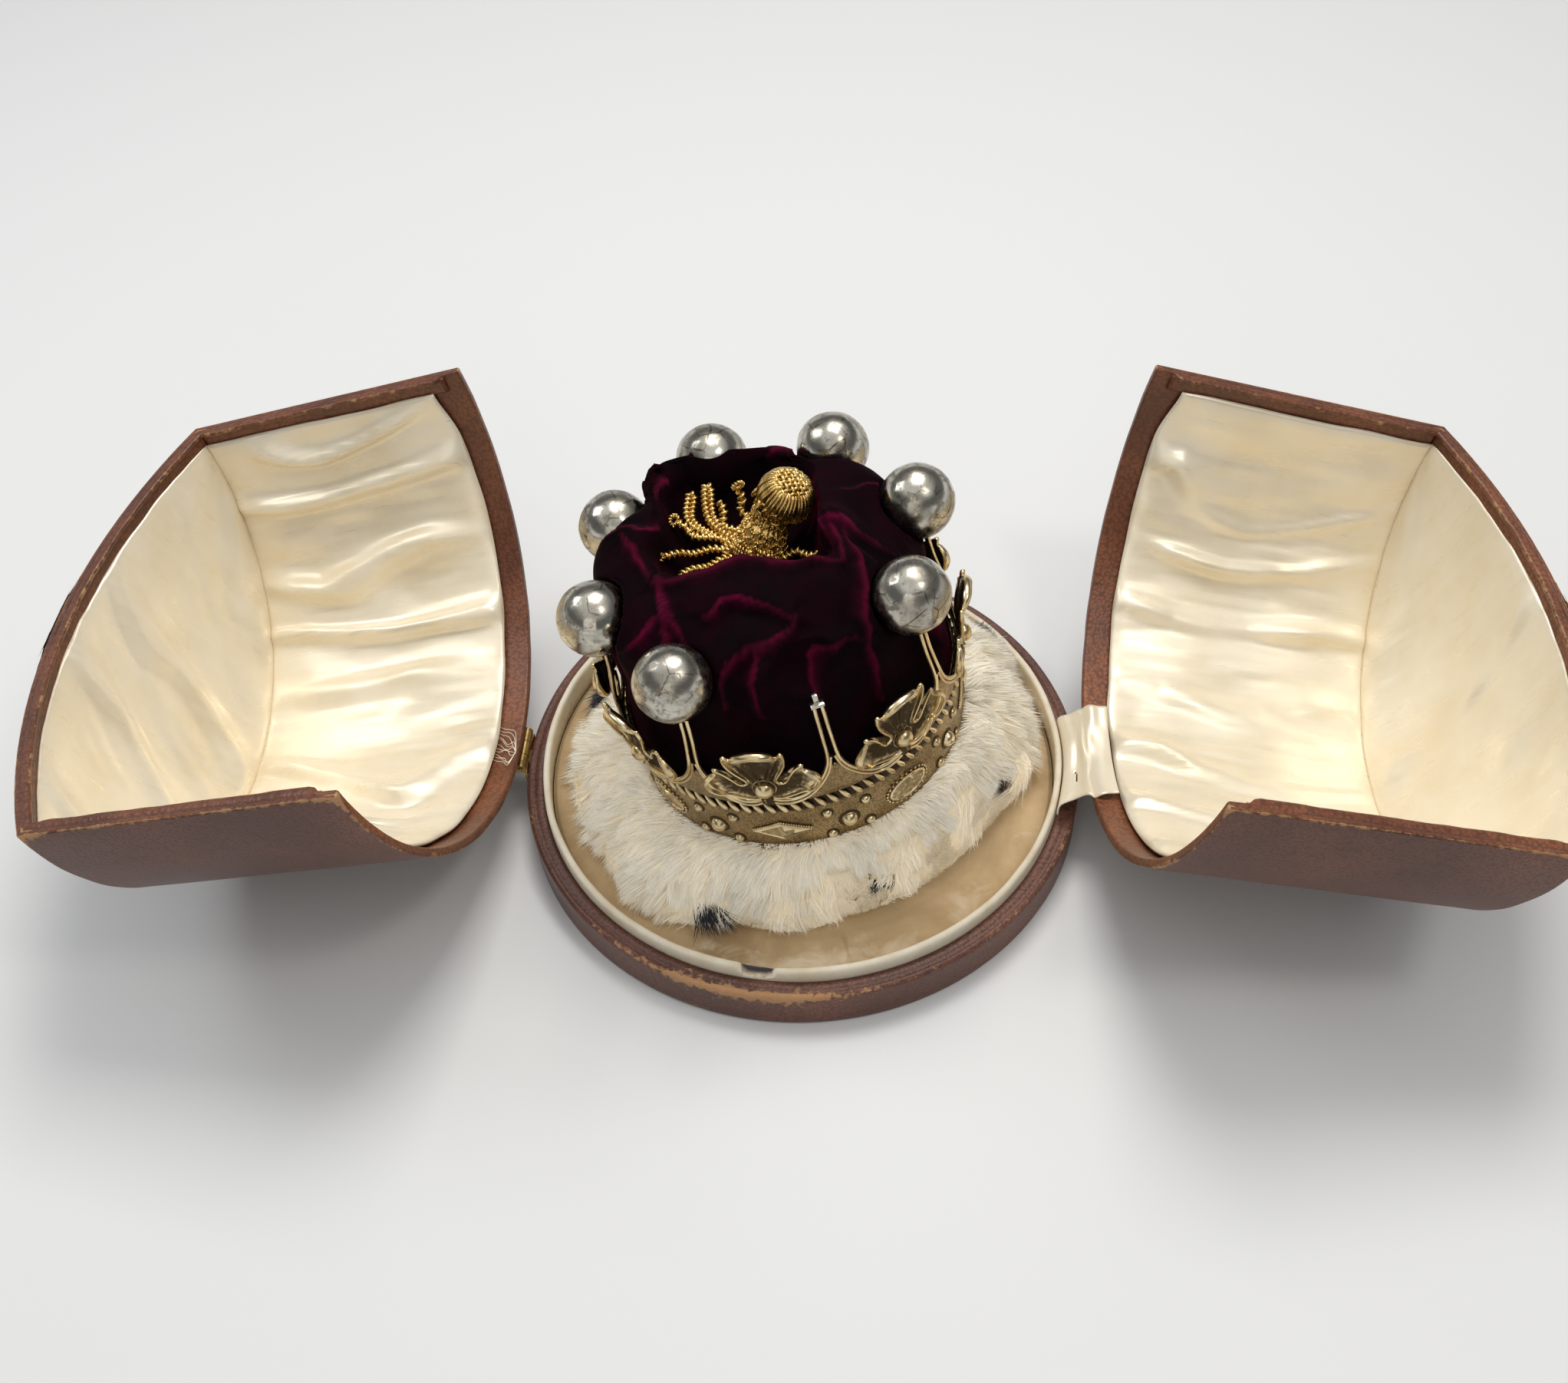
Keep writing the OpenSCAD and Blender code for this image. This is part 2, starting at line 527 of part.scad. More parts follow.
// Clasp on the right cover's dome: leaf, pin and a hasp lever that hangs down outside
clasp_x = 4;
clasp_r = 1.8;
clasp_z = dome_c + dome_r + clasp_r + 0.15;
clasp_half = 5;
clasp_mid = 1.7;

module clasp_tube(y0, y1) translate([-clasp_x, y1, clasp_z]) rotate([90, 0, 0]) cylinder(h = y1 - y0, r = clasp_r, $fn = 32);
module clasp_bore() translate([-clasp_x, clasp_half + 1, clasp_z]) rotate([90, 0, 0])
    cylinder(h = 2 * clasp_half + 2, r = 0.8, $fn = 32);

module clasp_leaf() color(brass) right_open() difference() {
    union() {
        clasp_tube(clasp_mid + 0.15, clasp_half);
        clasp_tube(-clasp_half, -clasp_mid - 0.15);
        translate([-clasp_x - 9, -clasp_half, dome_c + dome_r + 0.05]) cube([9, 2 * clasp_half, 0.8]);
    }
    clasp_bore();
    translate([-clasp_x - 2.2, -clasp_mid - 0.15, clasp_z - 2.2]) cube([4.4, 2 * clasp_mid + 0.3, 4.4]);
}

module clasp_pin() color(brass) right_open() translate([-clasp_x, clasp_half + 0.3, clasp_z]) rotate([90, 0, 0])
    cylinder(h = 2 * clasp_half + 0.6, r = 0.75, $fn = 32);

// the lever hangs plumb, so it stands off the dome by as much as the open cover leans past upright
module hang() translate([-clasp_x, 0, clasp_z]) rotate([0, open_angle - 90, 0]) translate([clasp_x, 0, -clasp_z]) children();
module clasp_lever() color(brass) right_open() hang() difference() {
    union() {
        clasp_tube(-clasp_mid, clasp_mid);
        translate([-clasp_x - 5.5, -clasp_mid, clasp_z - 0.2]) cube([5.5, 2 * clasp_mid, 1]);
        translate([-clasp_x - 15, -3.6, clasp_z - 0.2]) cube([12, 7.2, 1]);
        translate([-clasp_x - 15, -2, clasp_z + 0.7]) cube([1.4, 4, 1.5]);
    }
    clasp_bore();
}

case_base();
base_collar();
base_pad();
circlet();
ball(0);  // ball_1
ball(2);  // ball_2
ball(3);  // ball_3
ball(4);  // ball_4
ball(5);  // ball_5
ball(6);  // ball_6
ball(7);  // ball_7
cap();
tassel();
ermine();
left_shell();
left_side_lining();
left_end_lining();
left_catch();
right_shell();
right_side_lining();
right_end_lining();
hinge_strip();
left_hinge_base();
left_hinge_pin();
left_hinge_cover();
right_hinge_base();
right_hinge_pin();
right_hinge_cover();
clasp_leaf();
clasp_pin();
clasp_lever();
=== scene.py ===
import json
import math

import bmesh
import bpy
import numpy as np
from mathutils import Matrix, Vector, noise


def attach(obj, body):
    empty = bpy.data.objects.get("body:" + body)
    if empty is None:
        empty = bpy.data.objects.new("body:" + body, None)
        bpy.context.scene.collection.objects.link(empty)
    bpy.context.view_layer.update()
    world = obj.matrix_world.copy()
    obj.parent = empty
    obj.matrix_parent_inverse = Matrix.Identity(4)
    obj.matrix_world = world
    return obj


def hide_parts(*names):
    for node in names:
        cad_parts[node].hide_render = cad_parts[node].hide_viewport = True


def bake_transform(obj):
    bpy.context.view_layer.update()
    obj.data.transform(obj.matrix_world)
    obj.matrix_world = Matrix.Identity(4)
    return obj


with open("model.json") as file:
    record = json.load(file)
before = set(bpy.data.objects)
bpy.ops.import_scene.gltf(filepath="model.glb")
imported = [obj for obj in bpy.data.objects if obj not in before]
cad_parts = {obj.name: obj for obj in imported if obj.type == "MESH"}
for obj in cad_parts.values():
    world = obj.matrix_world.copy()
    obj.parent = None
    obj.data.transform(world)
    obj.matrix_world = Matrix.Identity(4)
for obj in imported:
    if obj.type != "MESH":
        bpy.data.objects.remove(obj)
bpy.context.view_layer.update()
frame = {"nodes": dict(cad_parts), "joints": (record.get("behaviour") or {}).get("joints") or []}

scene = bpy.context.scene
mm = 0.001  # pieces are worked out in millimetres and made in metres

# The camera, from the corners of the open covers and the ring of balls

view = {"place": (33.43, -401.57, 522.78), "yaw": -0.096, "pitch": -0.856, "roll": -0.064,
        "focal": 2100.0, "imageWidth": 2044.0, "sensor": 36.0}


def addCamera():
    yaw, pitch, roll = view["yaw"], view["pitch"], view["roll"]
    ahead = Vector((math.sin(yaw) * math.cos(pitch), math.cos(yaw) * math.cos(pitch), math.sin(pitch)))
    level = Vector((math.cos(yaw), -math.sin(yaw), 0))
    raised = level.cross(ahead)
    right = level * math.cos(roll) + raised * math.sin(roll)
    up = raised * math.cos(roll) - level * math.sin(roll)
    data = bpy.data.cameras.new("camera")
    data.sensor_width = view["sensor"]
    data.sensor_fit = "HORIZONTAL"
    data.lens = view["focal"] / view["imageWidth"] * view["sensor"]
    data.clip_start = 0.01
    camera = bpy.data.objects.new("camera", data)
    turn = Matrix((right, up, -ahead)).transposed().to_4x4()
    camera.matrix_world = Matrix.Translation(Vector(view["place"]) * mm) @ turn
    scene.collection.objects.link(camera)
    scene.camera = camera


# Sizes that several pieces share

case = {"baseR": 110.0, "baseH": 18.0, "boardH": 10.0, "collarR": 103.0, "collarTop": 24.0, "collarT": 2.6,
        "floorZ": 14.0, "coverR": 107.0, "shoulderR": 103.5, "coverH": 119.0, "domeH": 26.0, "shellT": 3.3,
        "coverZ": 18.3, "halfGap": 0.2}
coronet = {"x": 8.5, "lean": 9.0, "turn": -25.0, "stalks": 8, "bandR": 62.7, "bandLow": 35.0, "bandTop": 75.0,
           "bossZ": 85.5, "stalkTop": 116.2, "ballRing": 60.0, "ballZ": 130.0, "ballR": 13.3,
           "wireRing": 63.9, "wireR": 0.85, "leafR": 65.1}

hinges = {joint["child"]: joint for joint in frame["joints"]}
hingeX = abs(hinges["left_cover"]["pos_m"][0]) / mm
hingeZ = hinges["left_cover"]["pos_m"][2] / mm
openAngle = max(hinges["left_cover"]["range_deg"])
domeR = (case["shoulderR"] ** 2 + case["domeH"] ** 2) / (2 * case["domeH"])
domeC = case["coverZ"] + case["coverH"] + case["domeH"] - domeR
taper = (case["coverR"] - case["shoulderR"]) / case["coverH"]
shoulderZ = case["coverZ"] + case["coverH"]

onCoronet = (Matrix.Translation((coronet["x"], 0, 0))
             @ Matrix.Rotation(math.radians(-coronet["lean"]), 4, "Y"))
swung = (Matrix.Translation((-hingeX, 0, hingeZ)) @ Matrix.Rotation(math.radians(-openAngle), 4, "Y")
         @ Matrix.Translation((hingeX, 0, -hingeZ)))
openPlace = {"left": swung, "right": Matrix.Diagonal((-1, 1, 1, 1)) @ swung}
still = Matrix.Identity(4)
step = 360 / coronet["stalks"]
stalkTurns = [coronet["turn"] + k * step for k in range(coronet["stalks"])]
leafTurns = [coronet["turn"] + (k + 0.5) * step for k in range(coronet["stalks"])]


def polar(degrees, radius, height):
    turn = math.radians(degrees)  # azimuth from the front
    return Vector((radius * math.sin(turn), -radius * math.cos(turn), height))


def smooth(low, high, x):
    t = max(0.0, min(1.0, (x - low) / (high - low)))
    return t * t * (3 - 2 * t)


def between(table, x):
    # value at x in rows of (place, value), on an eased line
    for (x0, y0), (x1, y1) in zip(table, table[1:]):
        if x <= x1:
            return y0 + (y1 - y0) * smooth(x0, x1, x)
    return table[-1][1]


def wave(x, y, z=0.0):
    return noise.noise(Vector((x, y, z)))  # about -1 to 1


lattice = np.random.default_rng(7).uniform(-1, 1, (32, 32, 32))


def waves(x, y, z=0.0):
    # the same kind of smooth noise for whole arrays
    places = np.broadcast_arrays(np.asarray(x, float), y, z)
    cell = [np.floor(p).astype(int) for p in places]
    near = [p - c for p, c in zip(places, cell)]
    near = [t * t * (3 - 2 * t) for t in near]
    total = 0
    for corner in range(8):
        sides = (corner & 1, corner >> 1 & 1, corner >> 2)
        share = 1
        for side, t in zip(sides, near):
            share = share * (t if side else 1 - t)
        total = total + share * lattice[tuple((c + side) % 32 for c, side in zip(cell, sides))]
    return total * 1.4


def ease(low, high, x):
    t = np.clip((x - low) / (high - low), 0, 1)
    return t * t * (3 - 2 * t)


def toLine(points, line):
    # distance of each point to a line of points, and how far along the line it is nearest, 0 to 1
    best = np.full(len(points), 1e9)
    along = np.zeros(len(points))
    count = len(line) - 1
    for i in range(count):
        a, way = line[i], line[i + 1] - line[i]
        t = np.clip(((points - a) @ way) / (way @ way), 0, 1)
        far = np.linalg.norm(points - (a + t[:, None] * way), axis=1)
        nearer = far < best
        best = np.where(nearer, far, best)
        along = np.where(nearer, (i + t) / count, along)
    return best, along


# Helpers for materials

class Nodes:
    # a node tree, with the kinds of node that the finishes are made of

    def __init__(self, tree):
        self.tree = tree

    def feed(self, socket, value):
        # a link from another node, or else a plain value
        if isinstance(value, bpy.types.NodeSocket):
            self.tree.links.new(value, socket)
        elif socket.type == "RGBA" and len(value) == 3:
            socket.default_value = (*value, 1.0)
        else:
            socket.default_value = value

    def add(self, kind, sockets=None, **settings):
        node = self.tree.nodes.new("ShaderNode" + kind)
        for key, value in settings.items():
            setattr(node, key, value)
        for key, value in (sockets or {}).items():
            self.feed(node.inputs[key], value)
        return node

    def place(self, stretch=(1, 1, 1), source="Object"):
        place = self.add("TexCoord").outputs[source]
        return self.add("Mapping", {"Vector": place, "Scale": stretch}).outputs["Vector"]

    def clouds(self, place, scale, detail=3.0, rough=0.5, twist=0.0):
        return self.add("TexNoise", {"Vector": place, "Scale": scale, "Detail": detail, "Roughness": rough,
                                     "Distortion": twist}).outputs["Fac"]

    def cells(self, place, scale, feature="F1"):
        return self.add("TexVoronoi", {"Vector": place, "Scale": scale}, feature=feature).outputs["Distance"]

    def painted(self, name):
        return self.add("Attribute", attribute_name=name).outputs["Fac"]

    def ranged(self, value, low, high, first=0.0, last=1.0):
        return self.add("MapRange", {"Value": value, "From Min": low, "From Max": high,
                                     "To Min": first, "To Max": last}).outputs["Result"]

    def plus(self, first, second):
        return self.add("Math", {0: first, 1: second}, operation="ADD").outputs["Value"]

    def times(self, first, second):
        return self.add("Math", {0: first, 1: second}, operation="MULTIPLY").outputs["Value"]

    def blended(self, share, first, second):
        return self.add("Mix", {0: share, 6: first, 7: second}, data_type="RGBA").outputs[2]

    def over(self, colour, mask, low, high, tint, most=1.0):
        # a tint laid over the colour, from nothing where the mask is low to most of it where it is high
        return self.blended(self.ranged(mask, low, high, 0.0, most), colour, tint)

    def raised(self, height, strength, depth, under=None):
        sockets = {"Height": height, "Strength": strength, "Distance": depth}
        if under is not None:
            sockets["Normal"] = under
        return self.add("Bump", sockets).outputs["Normal"]


class Finish(Nodes):
    # a material, its shader's plain values and then what the nodes give it

    def __init__(self, name, uniform):
        self.material = bpy.data.materials.new(name)
        self.material.use_nodes = True
        super().__init__(self.material.node_tree)
        self.shader = self.tree.nodes["Principled BSDF"]
        for key, value in uniform.items():
            self.shader.inputs[key].default_value = value

    def dressed(self, colour, roughness=None, normal=None):
        for key, value in (("Base Color", colour), ("Roughness", roughness), ("Normal", normal)):
            if value is not None:
                self.feed(self.shader.inputs[key], value)
        return self.material


# Materials

def leatherFinish(name, dark, mid, worn, grain, shine):
    f = Finish(name, {"Specular IOR Level": shine})
    place = f.place()
    pebble = f.cells(place, grain)
    patches = f.clouds(place, 16, 4, 0.6)
    fine = f.clouds(place, 380, 4, 0.65)
    broad = f.clouds(place, 60, 3)
    colour = f.blended(f.ranged(patches, 0.35, 0.68), dark, mid)
    crease = f.ranged(pebble, 0.35, 0.75)
    colour = f.blended(f.times(crease, 0.55), colour, tuple(c * 0.45 for c in dark))
    uneven = f.plus(f.ranged(fine, 0.3, 0.7, -0.32, 0.32), f.ranged(broad, 0.3, 0.7, -0.2, 0.2))
    rub = f.plus(f.painted("wear"), uneven)
    bare = f.ranged(rub, 0.5, 0.72)
    light = f.blended(fine, worn, tuple(c * 0.62 for c in worn))
    colour = f.blended(bare, colour, light)
    roughness = f.plus(f.ranged(patches, 0.3, 0.7, 0.34, 0.5), f.times(bare, 0.25))
    normal = f.raised(pebble, shine, 0.0003)
    normal = f.raised(fine, 0.25, 0.0002, normal)
    return f.dressed(colour, roughness, normal)


def satinFinish():
    f = Finish("creamSatin", {"Metallic": 0.24, "Specular IOR Level": 0.8, "Sheen Weight": 0.15,
                              "Sheen Roughness": 0.4})
    place = f.place(source="UV")
    threads = f.clouds(f.place((1, 0.03, 1), "UV"), 1500, 3, 0.7)
    streaks = f.clouds(f.place((1, 0.12, 1), "UV"), 260, 1, 0.5)
    stain = f.clouds(place, 22, 4, 0.6)
    specks = f.clouds(place, 120, 2, 0.5)
    colour = f.over((0.92, 0.83, 0.65), stain, 0.42, 0.74, (0.83, 0.71, 0.49))
    colour = f.over(colour, streaks, 0.45, 0.75, (0.93, 0.86, 0.72), 0.35)
    colour = f.over(colour, specks, 0.8, 0.86, (0.42, 0.27, 0.12), 0.3)
    roughness = f.ranged(streaks, 0.3, 0.7, 0.25, 0.4)
    return f.dressed(colour, roughness, f.raised(threads, 0.1, 0.0002))


def kidFinish():
    f = Finish("creamKid", {"Specular IOR Level": 0.4})
    place = f.place()
    stain = f.clouds(place, 45, 4, 0.65)
    fine = f.clouds(place, 500, 3, 0.6)
    soil = f.painted("soil")
    colour = f.over((0.78, 0.71, 0.57), stain, 0.4, 0.72, (0.63, 0.53, 0.36))
    # this mark carries random soil, darker towards the bottom, and painted shadow in the tear, laid nearly
    # black where it is strongest
    grimeAndShade = f.ranged(f.plus(soil, f.ranged(fine, 0.3, 0.7, -0.3, 0.3)), 0.45, 0.9)
    colour = f.blended(grimeAndShade, colour, (0.36, 0.27, 0.17))
    colour = f.over(colour, soil, 0.75, 1.15, (0.035, 0.034, 0.038))
    normal = f.raised(fine, 0.3, 0.0002)
    return f.dressed(colour, f.ranged(stain, 0.3, 0.7, 0.48, 0.64), normal)


def plushFinish():
    f = Finish("tanPlush", {"Specular IOR Level": 0.2, "Sheen Weight": 0.5, "Sheen Roughness": 0.5,
                            "Sheen Tint": (0.9, 0.75, 0.5, 1)})
    place = f.place()
    pile = f.clouds(place, 1400, 2, 0.6)
    stain = f.clouds(place, 26, 4, 0.62, 0.4)
    blots = f.clouds(place, 70, 3, 0.6, 0.6)
    colour = f.over((0.37, 0.25, 0.13), stain, 0.36, 0.66, (0.56, 0.41, 0.235))
    colour = f.over(colour, f.plus(blots, f.painted("rubbed")), 0.62, 0.86, (0.66, 0.54, 0.38))
    # soil and painted shade from the pad's mark, darkest in its creases and at its edge
    colour = f.over(colour, f.painted("soil"), 0.3, 1.0, (0.14, 0.085, 0.04))
    normal = f.raised(pile, 0.5, 0.0005)
    normal = f.raised(blots, 0.25, 0.001, normal)
    return f.dressed(colour, f.ranged(stain, 0.3, 0.7, 0.75, 0.95), normal)


def velvetFinish():
    f = Finish("crimsonVelvet", {"Specular IOR Level": 0.05, "Sheen Weight": 0.26, "Sheen Roughness": 0.2,
                                 "Sheen Tint": (0.42, 0.012, 0.085, 1)})
    place = f.place()
    pile = f.clouds(place, 1600, 2, 0.6)
    nap = f.clouds(place, 60, 3, 0.55, 0.5)
    colour = f.over((0.003, 0.0003, 0.0012), nap, 0.4, 0.75, (0.011, 0.0007, 0.0035))
    # painted sheen: a lighter crimson laid along the marked fold crests and their steep sides
    paintedSheen = f.times(f.painted("crest"), f.ranged(nap, 0.3, 0.7, 0.35, 1.15))
    colour = f.over(colour, paintedSheen, 0.1, 1.0, (0.12, 0.003, 0.028))
    normal = f.raised(pile, 0.35, 0.0004)
    normal = f.raised(nap, 0.15, 0.001, normal)
    return f.dressed(colour, f.ranged(nap, 0.3, 0.7, 0.75, 0.95), normal)


def silverFinish():
    f = Finish("tarnishedSilver", {"Metallic": 1.0})
    place = f.place()
    cloud = f.clouds(place, 75, 5, 0.65, 0.8)
    mottle = f.clouds(place, 260, 4, 0.7, 0.4)
    flecks = f.clouds(place, 900, 3, 0.7)
    colour = f.over((0.6, 0.57, 0.49), cloud, 0.4, 0.66, (0.34, 0.31, 0.25))
    colour = f.over(colour, mottle, 0.52, 0.63, (0.2, 0.17, 0.13), 0.8)
    cracks = f.cells(f.place((1, 0.8, 1.2)), 110, "DISTANCE_TO_EDGE")
    lines = f.times(f.ranged(cracks, 0.035, 0.01), f.ranged(cloud, 0.45, 0.6))
    colour = f.blended(lines, colour, (0.09, 0.075, 0.06))
    colour = f.over(colour, flecks, 0.63, 0.7, (0.1, 0.085, 0.07), 0.6)
    dull = f.plus(f.ranged(cloud, 0.35, 0.7, 0.12, 0.32), f.ranged(mottle, 0.5, 0.68, 0.0, 0.22))
    normal = f.raised(mottle, 0.12, 0.0003)
    normal = f.raised(flecks, 0.1, 0.0001, normal)
    return f.dressed(colour, dull, normal)


def giltFinish():
    f = Finish("silverGilt", {"Metallic": 1.0})
    place = f.place()
    cloud = f.clouds(place, 90, 4, 0.6)
    fine = f.clouds(place, 700, 4, 0.65)
    # tarnish and painted shade: the dark mark darkens the gilt where parts meet the band and in the leaves'
    # hollows
    tarnishAndShade = f.plus(f.painted("dark"), f.ranged(fine, 0.3, 0.7, -0.22, 0.22))
    grimeAndShade = f.ranged(tarnishAndShade, 0.2, 0.75)
    colour = f.over((0.82, 0.67, 0.41), cloud, 0.38, 0.68, (0.56, 0.42, 0.21))
    colour = f.blended(grimeAndShade, colour, (0.08, 0.054, 0.027))
    roughness = f.plus(f.ranged(cloud, 0.35, 0.7, 0.17, 0.28), f.times(grimeAndShade, 0.32))
    normal = f.raised(fine, 0.1, 0.0001)
    return f.dressed(colour, roughness, normal)


def mattedFinish():
    # the band's ground, punched all over and brown with tarnish; the dark mark adds tarnish and painted shade
    f = Finish("mattedGilt", {"Metallic": 1.0})
    place = f.place()
    punch = f.cells(place, 1500)
    cloud = f.clouds(place, 85, 4, 0.65)
    fine = f.clouds(place, 420, 3, 0.6)
    colour = f.over((0.56, 0.4, 0.2), cloud, 0.35, 0.68, (0.34, 0.235, 0.105))
    colour = f.over(colour, punch, 0.3, 0.6, (0.1, 0.07, 0.038), 0.6)
    # tarnish and painted shade from the dark mark
    tarnishAndShade = f.plus(f.painted("dark"), f.ranged(fine, 0.3, 0.7, -0.2, 0.2))
    colour = f.over(colour, tarnishAndShade, 0.3, 0.9, (0.045, 0.03, 0.018))
    normal = f.raised(punch, 0.55, 0.00025)
    normal = f.raised(fine, 0.2, 0.0003, normal)
    return f.dressed(colour, f.ranged(cloud, 0.3, 0.7, 0.28, 0.44), normal)


def bullionFinish():
    f = Finish("goldBullion", {"Metallic": 1.0})
    place = f.place()
    cloud = f.clouds(place, 180, 3, 0.6)
    fine = f.clouds(place, 1800, 2, 0.6)
    colour = f.over((0.88, 0.63, 0.24), cloud, 0.35, 0.7, (0.52, 0.31, 0.08))
    normal = f.raised(fine, 0.25, 0.0002)
    return f.dressed(colour, f.ranged(fine, 0.3, 0.7, 0.2, 0.36), normal)


def brassFinish(name, bright, dull, rough):
    f = Finish(name, {"Metallic": 1.0})
    place = f.place()
    cloud = f.clouds(place, 220, 4, 0.65)
    scratch = f.clouds(f.place((1, 0.1, 1)), 900, 3, 0.6)
    colour = f.blended(f.ranged(cloud, 0.38, 0.66), bright, dull)
    return f.dressed(colour, f.ranged(cloud, 0.3, 0.7, rough, rough + 0.2), f.raised(scratch, 0.15, 0.0001))


def furFinish(name, root, tip):
    # the hairs carry their own length in an attribute, 0 at the root and 1 at the tip
    f = Finish(name, {"Roughness": 0.75, "Specular IOR Level": 0.25, "Sheen Weight": 0.15,
                      "Sheen Roughness": 0.5, "Emission Strength": 0.15})
    along = f.painted("along")
    patch = f.clouds(f.place(), 40, 3, 0.6)
    colour = f.blended(along, root, tip)
    colour = f.over(colour, patch, 0.45, 0.75, tuple(c * 0.92 for c in root), 0.2)
    f.feed(f.shader.inputs["Emission Color"], colour)  # a painted glow: the hairs give off faint light in their own colour, in place of light passed from hair to hair
    return f.dressed(colour)


leather = leatherFinish("caseLeather", (0.1, 0.038, 0.024), (0.2, 0.085, 0.055), (0.52, 0.28, 0.13),
                        1000, 0.36)
rimLeather = leatherFinish("rimLeather", (0.115, 0.034, 0.013), (0.3, 0.1, 0.038), (0.54, 0.3, 0.13),
                           700, 0.5)
satin, kid, plush, velvet = satinFinish(), kidFinish(), plushFinish(), velvetFinish()
silver, gilt, matted, bullion = silverFinish(), giltFinish(), mattedFinish(), bullionFinish()
brass = brassFinish("agedBrass", (0.62, 0.43, 0.16), (0.2, 0.12, 0.045), 0.28)
steel = brassFinish("darkSteel", (0.16, 0.17, 0.19), (0.05, 0.05, 0.055), 0.35)
whiteFur = furFinish("whiteFur", (0.92, 0.81, 0.62), (1.0, 0.95, 0.82))
blackFur = furFinish("blackFur", (0.01, 0.011, 0.014), (0.03, 0.034, 0.045))
print("materials ready")


# Helpers for pieces

def paint(mesh, marks):
    # a value for each corner of the mesh, or one for all, under the names that the finishes read
    for name, values in marks.items():
        layer = mesh.attributes.new(name, "FLOAT", "POINT")
        values = np.array(np.broadcast_to(values, len(mesh.vertices)), np.float32)
        layer.data.foreach_set("value", values)


def markCorners(bm, name, values):
    layer = bm.verts.layers.float.new(name)
    for v, value in zip(bm.verts, values):
        v[layer] = value


def makePiece(bm, name, finish, body, place=still, fix=True, shaded=True, **marks):
    if fix:
        bmesh.ops.remove_doubles(bm, verts=bm.verts, dist=0.002)
        bmesh.ops.recalc_face_normals(bm, faces=bm.faces)
    mesh = bpy.data.meshes.new(name)
    if place.determinant() < 0:
        bmesh.ops.reverse_faces(bm, faces=bm.faces)
    bm.transform(Matrix.Scale(mm, 4) @ place)
    bm.to_mesh(mesh)
    bm.free()
    mesh.materials.append(finish)
    if shaded:
        mesh.shade_smooth()
    return addPiece(mesh, name, body, marks)


def addPiece(mesh, name, body, marks):
    paint(mesh, marks)
    piece = bpy.data.objects.new(name, mesh)
    scene.collection.objects.link(piece)
    if body:
        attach(piece, body)
    return piece


def turned(bm, verts, degrees, axis="Z"):
    bmesh.ops.rotate(bm, verts=verts, cent=(0, 0, 0), matrix=Matrix.Rotation(math.radians(degrees), 3, axis))


def moved(bm, verts, way):
    bmesh.ops.translate(bm, verts=verts, vec=way)


def corners(made):
    # the corners among what an operator made
    return [part for part in made["geom"] if isinstance(part, bmesh.types.BMVert)]


def ringPlace(p):
    # a point's distance from the upright axis, and its azimuth from the front
    return math.hypot(p.x, p.y), math.degrees(math.atan2(p.x, -p.y))


def spun(profile, steps, turn=360.0):
    # profile of (radius, height) set on the front, at -Y, and turned about the upright axis
    bm = bmesh.new()
    points = [bm.verts.new((0, -r, z)) for r, z in profile]
    lines = [bm.edges.new(pair) for pair in zip(points, points[1:])]
    bmesh.ops.spin(bm, geom=points + lines, cent=(0, 0, 0), axis=(0, 0, 1), dvec=(0, 0, 0),
                   angle=math.radians(turn), steps=steps, use_merge=abs(turn) >= 360, use_duplicate=False)
    bmesh.ops.remove_doubles(bm, verts=bm.verts, dist=0.002)
    bmesh.ops.recalc_face_normals(bm, faces=bm.faces)
    return bm


def gridSheet(columns, rows, where, round=False):
    # a grid whose corners are moved to where(u, v), arrays from 0 to 1 across and up
    bm = bmesh.new()
    bmesh.ops.create_grid(bm, x_segments=columns, y_segments=rows, size=0.5)
    layer = bm.loops.layers.uv.new("cloth")
    flat = np.array([v.co[:2] for v in bm.verts]) + 0.5
    for face in bm.faces:
        for loop in face.loops:
            loop[layer].uv = flat[loop.vert.index]
    for v, place in zip(bm.verts, where(flat[:, 0], flat[:, 1])):
        v.co = place
    if round:
        bmesh.ops.remove_doubles(bm, verts=bm.verts, dist=0.001)
    return bm


def wires(name, paths, radius, finish, body, place=still, fine=1, **marks):
    # round wires along paths of points, made a mesh
    data = bpy.data.curves.new(name, "CURVE")
    data.dimensions = "3D"
    data.bevel_depth = 1.0
    data.bevel_resolution = fine
    data.use_fill_caps = True
    for path in paths:
        spline = data.splines.new("POLY")
        spline.points.add(len(path) - 1)
        for point, at in zip(spline.points, path):
            point.co = (*at, 1)
            point.radius = radius
    holder = bpy.data.objects.new(name + "Line", data)
    scene.collection.objects.link(holder)
    mesh = bpy.data.meshes.new_from_object(holder)
    bpy.data.objects.remove(holder)
    mesh.name = name
    if place.determinant() < 0:
        mesh.flip_normals()
    mesh.transform(Matrix.Scale(mm, 4) @ place)
    mesh.materials.clear()
    mesh.materials.append(finish)
    mesh.shade_smooth()
    return addPiece(mesh, name, body, marks)


def through(a, b, c, d, t):
    # the smooth line through four points, at t from 0 to 1 between the middle two
    return 0.5 * (2 * b + (c - a) * t + (2 * a - 5 * b + 4 * c - d) * t * t
                  + (3 * b - a - 3 * c + d) * t ** 3)


def curved(points, steps):
    # smooth line through a few points
    ends = [points[0] * 2 - points[1], *points, points[-1] * 2 - points[-2]]
    line = []
    for i in range(1, len(ends) - 2):
        line += [through(*ends[i - 1:i + 3], k / steps) for k in range(steps)]
    return line + [points[-1].copy()]


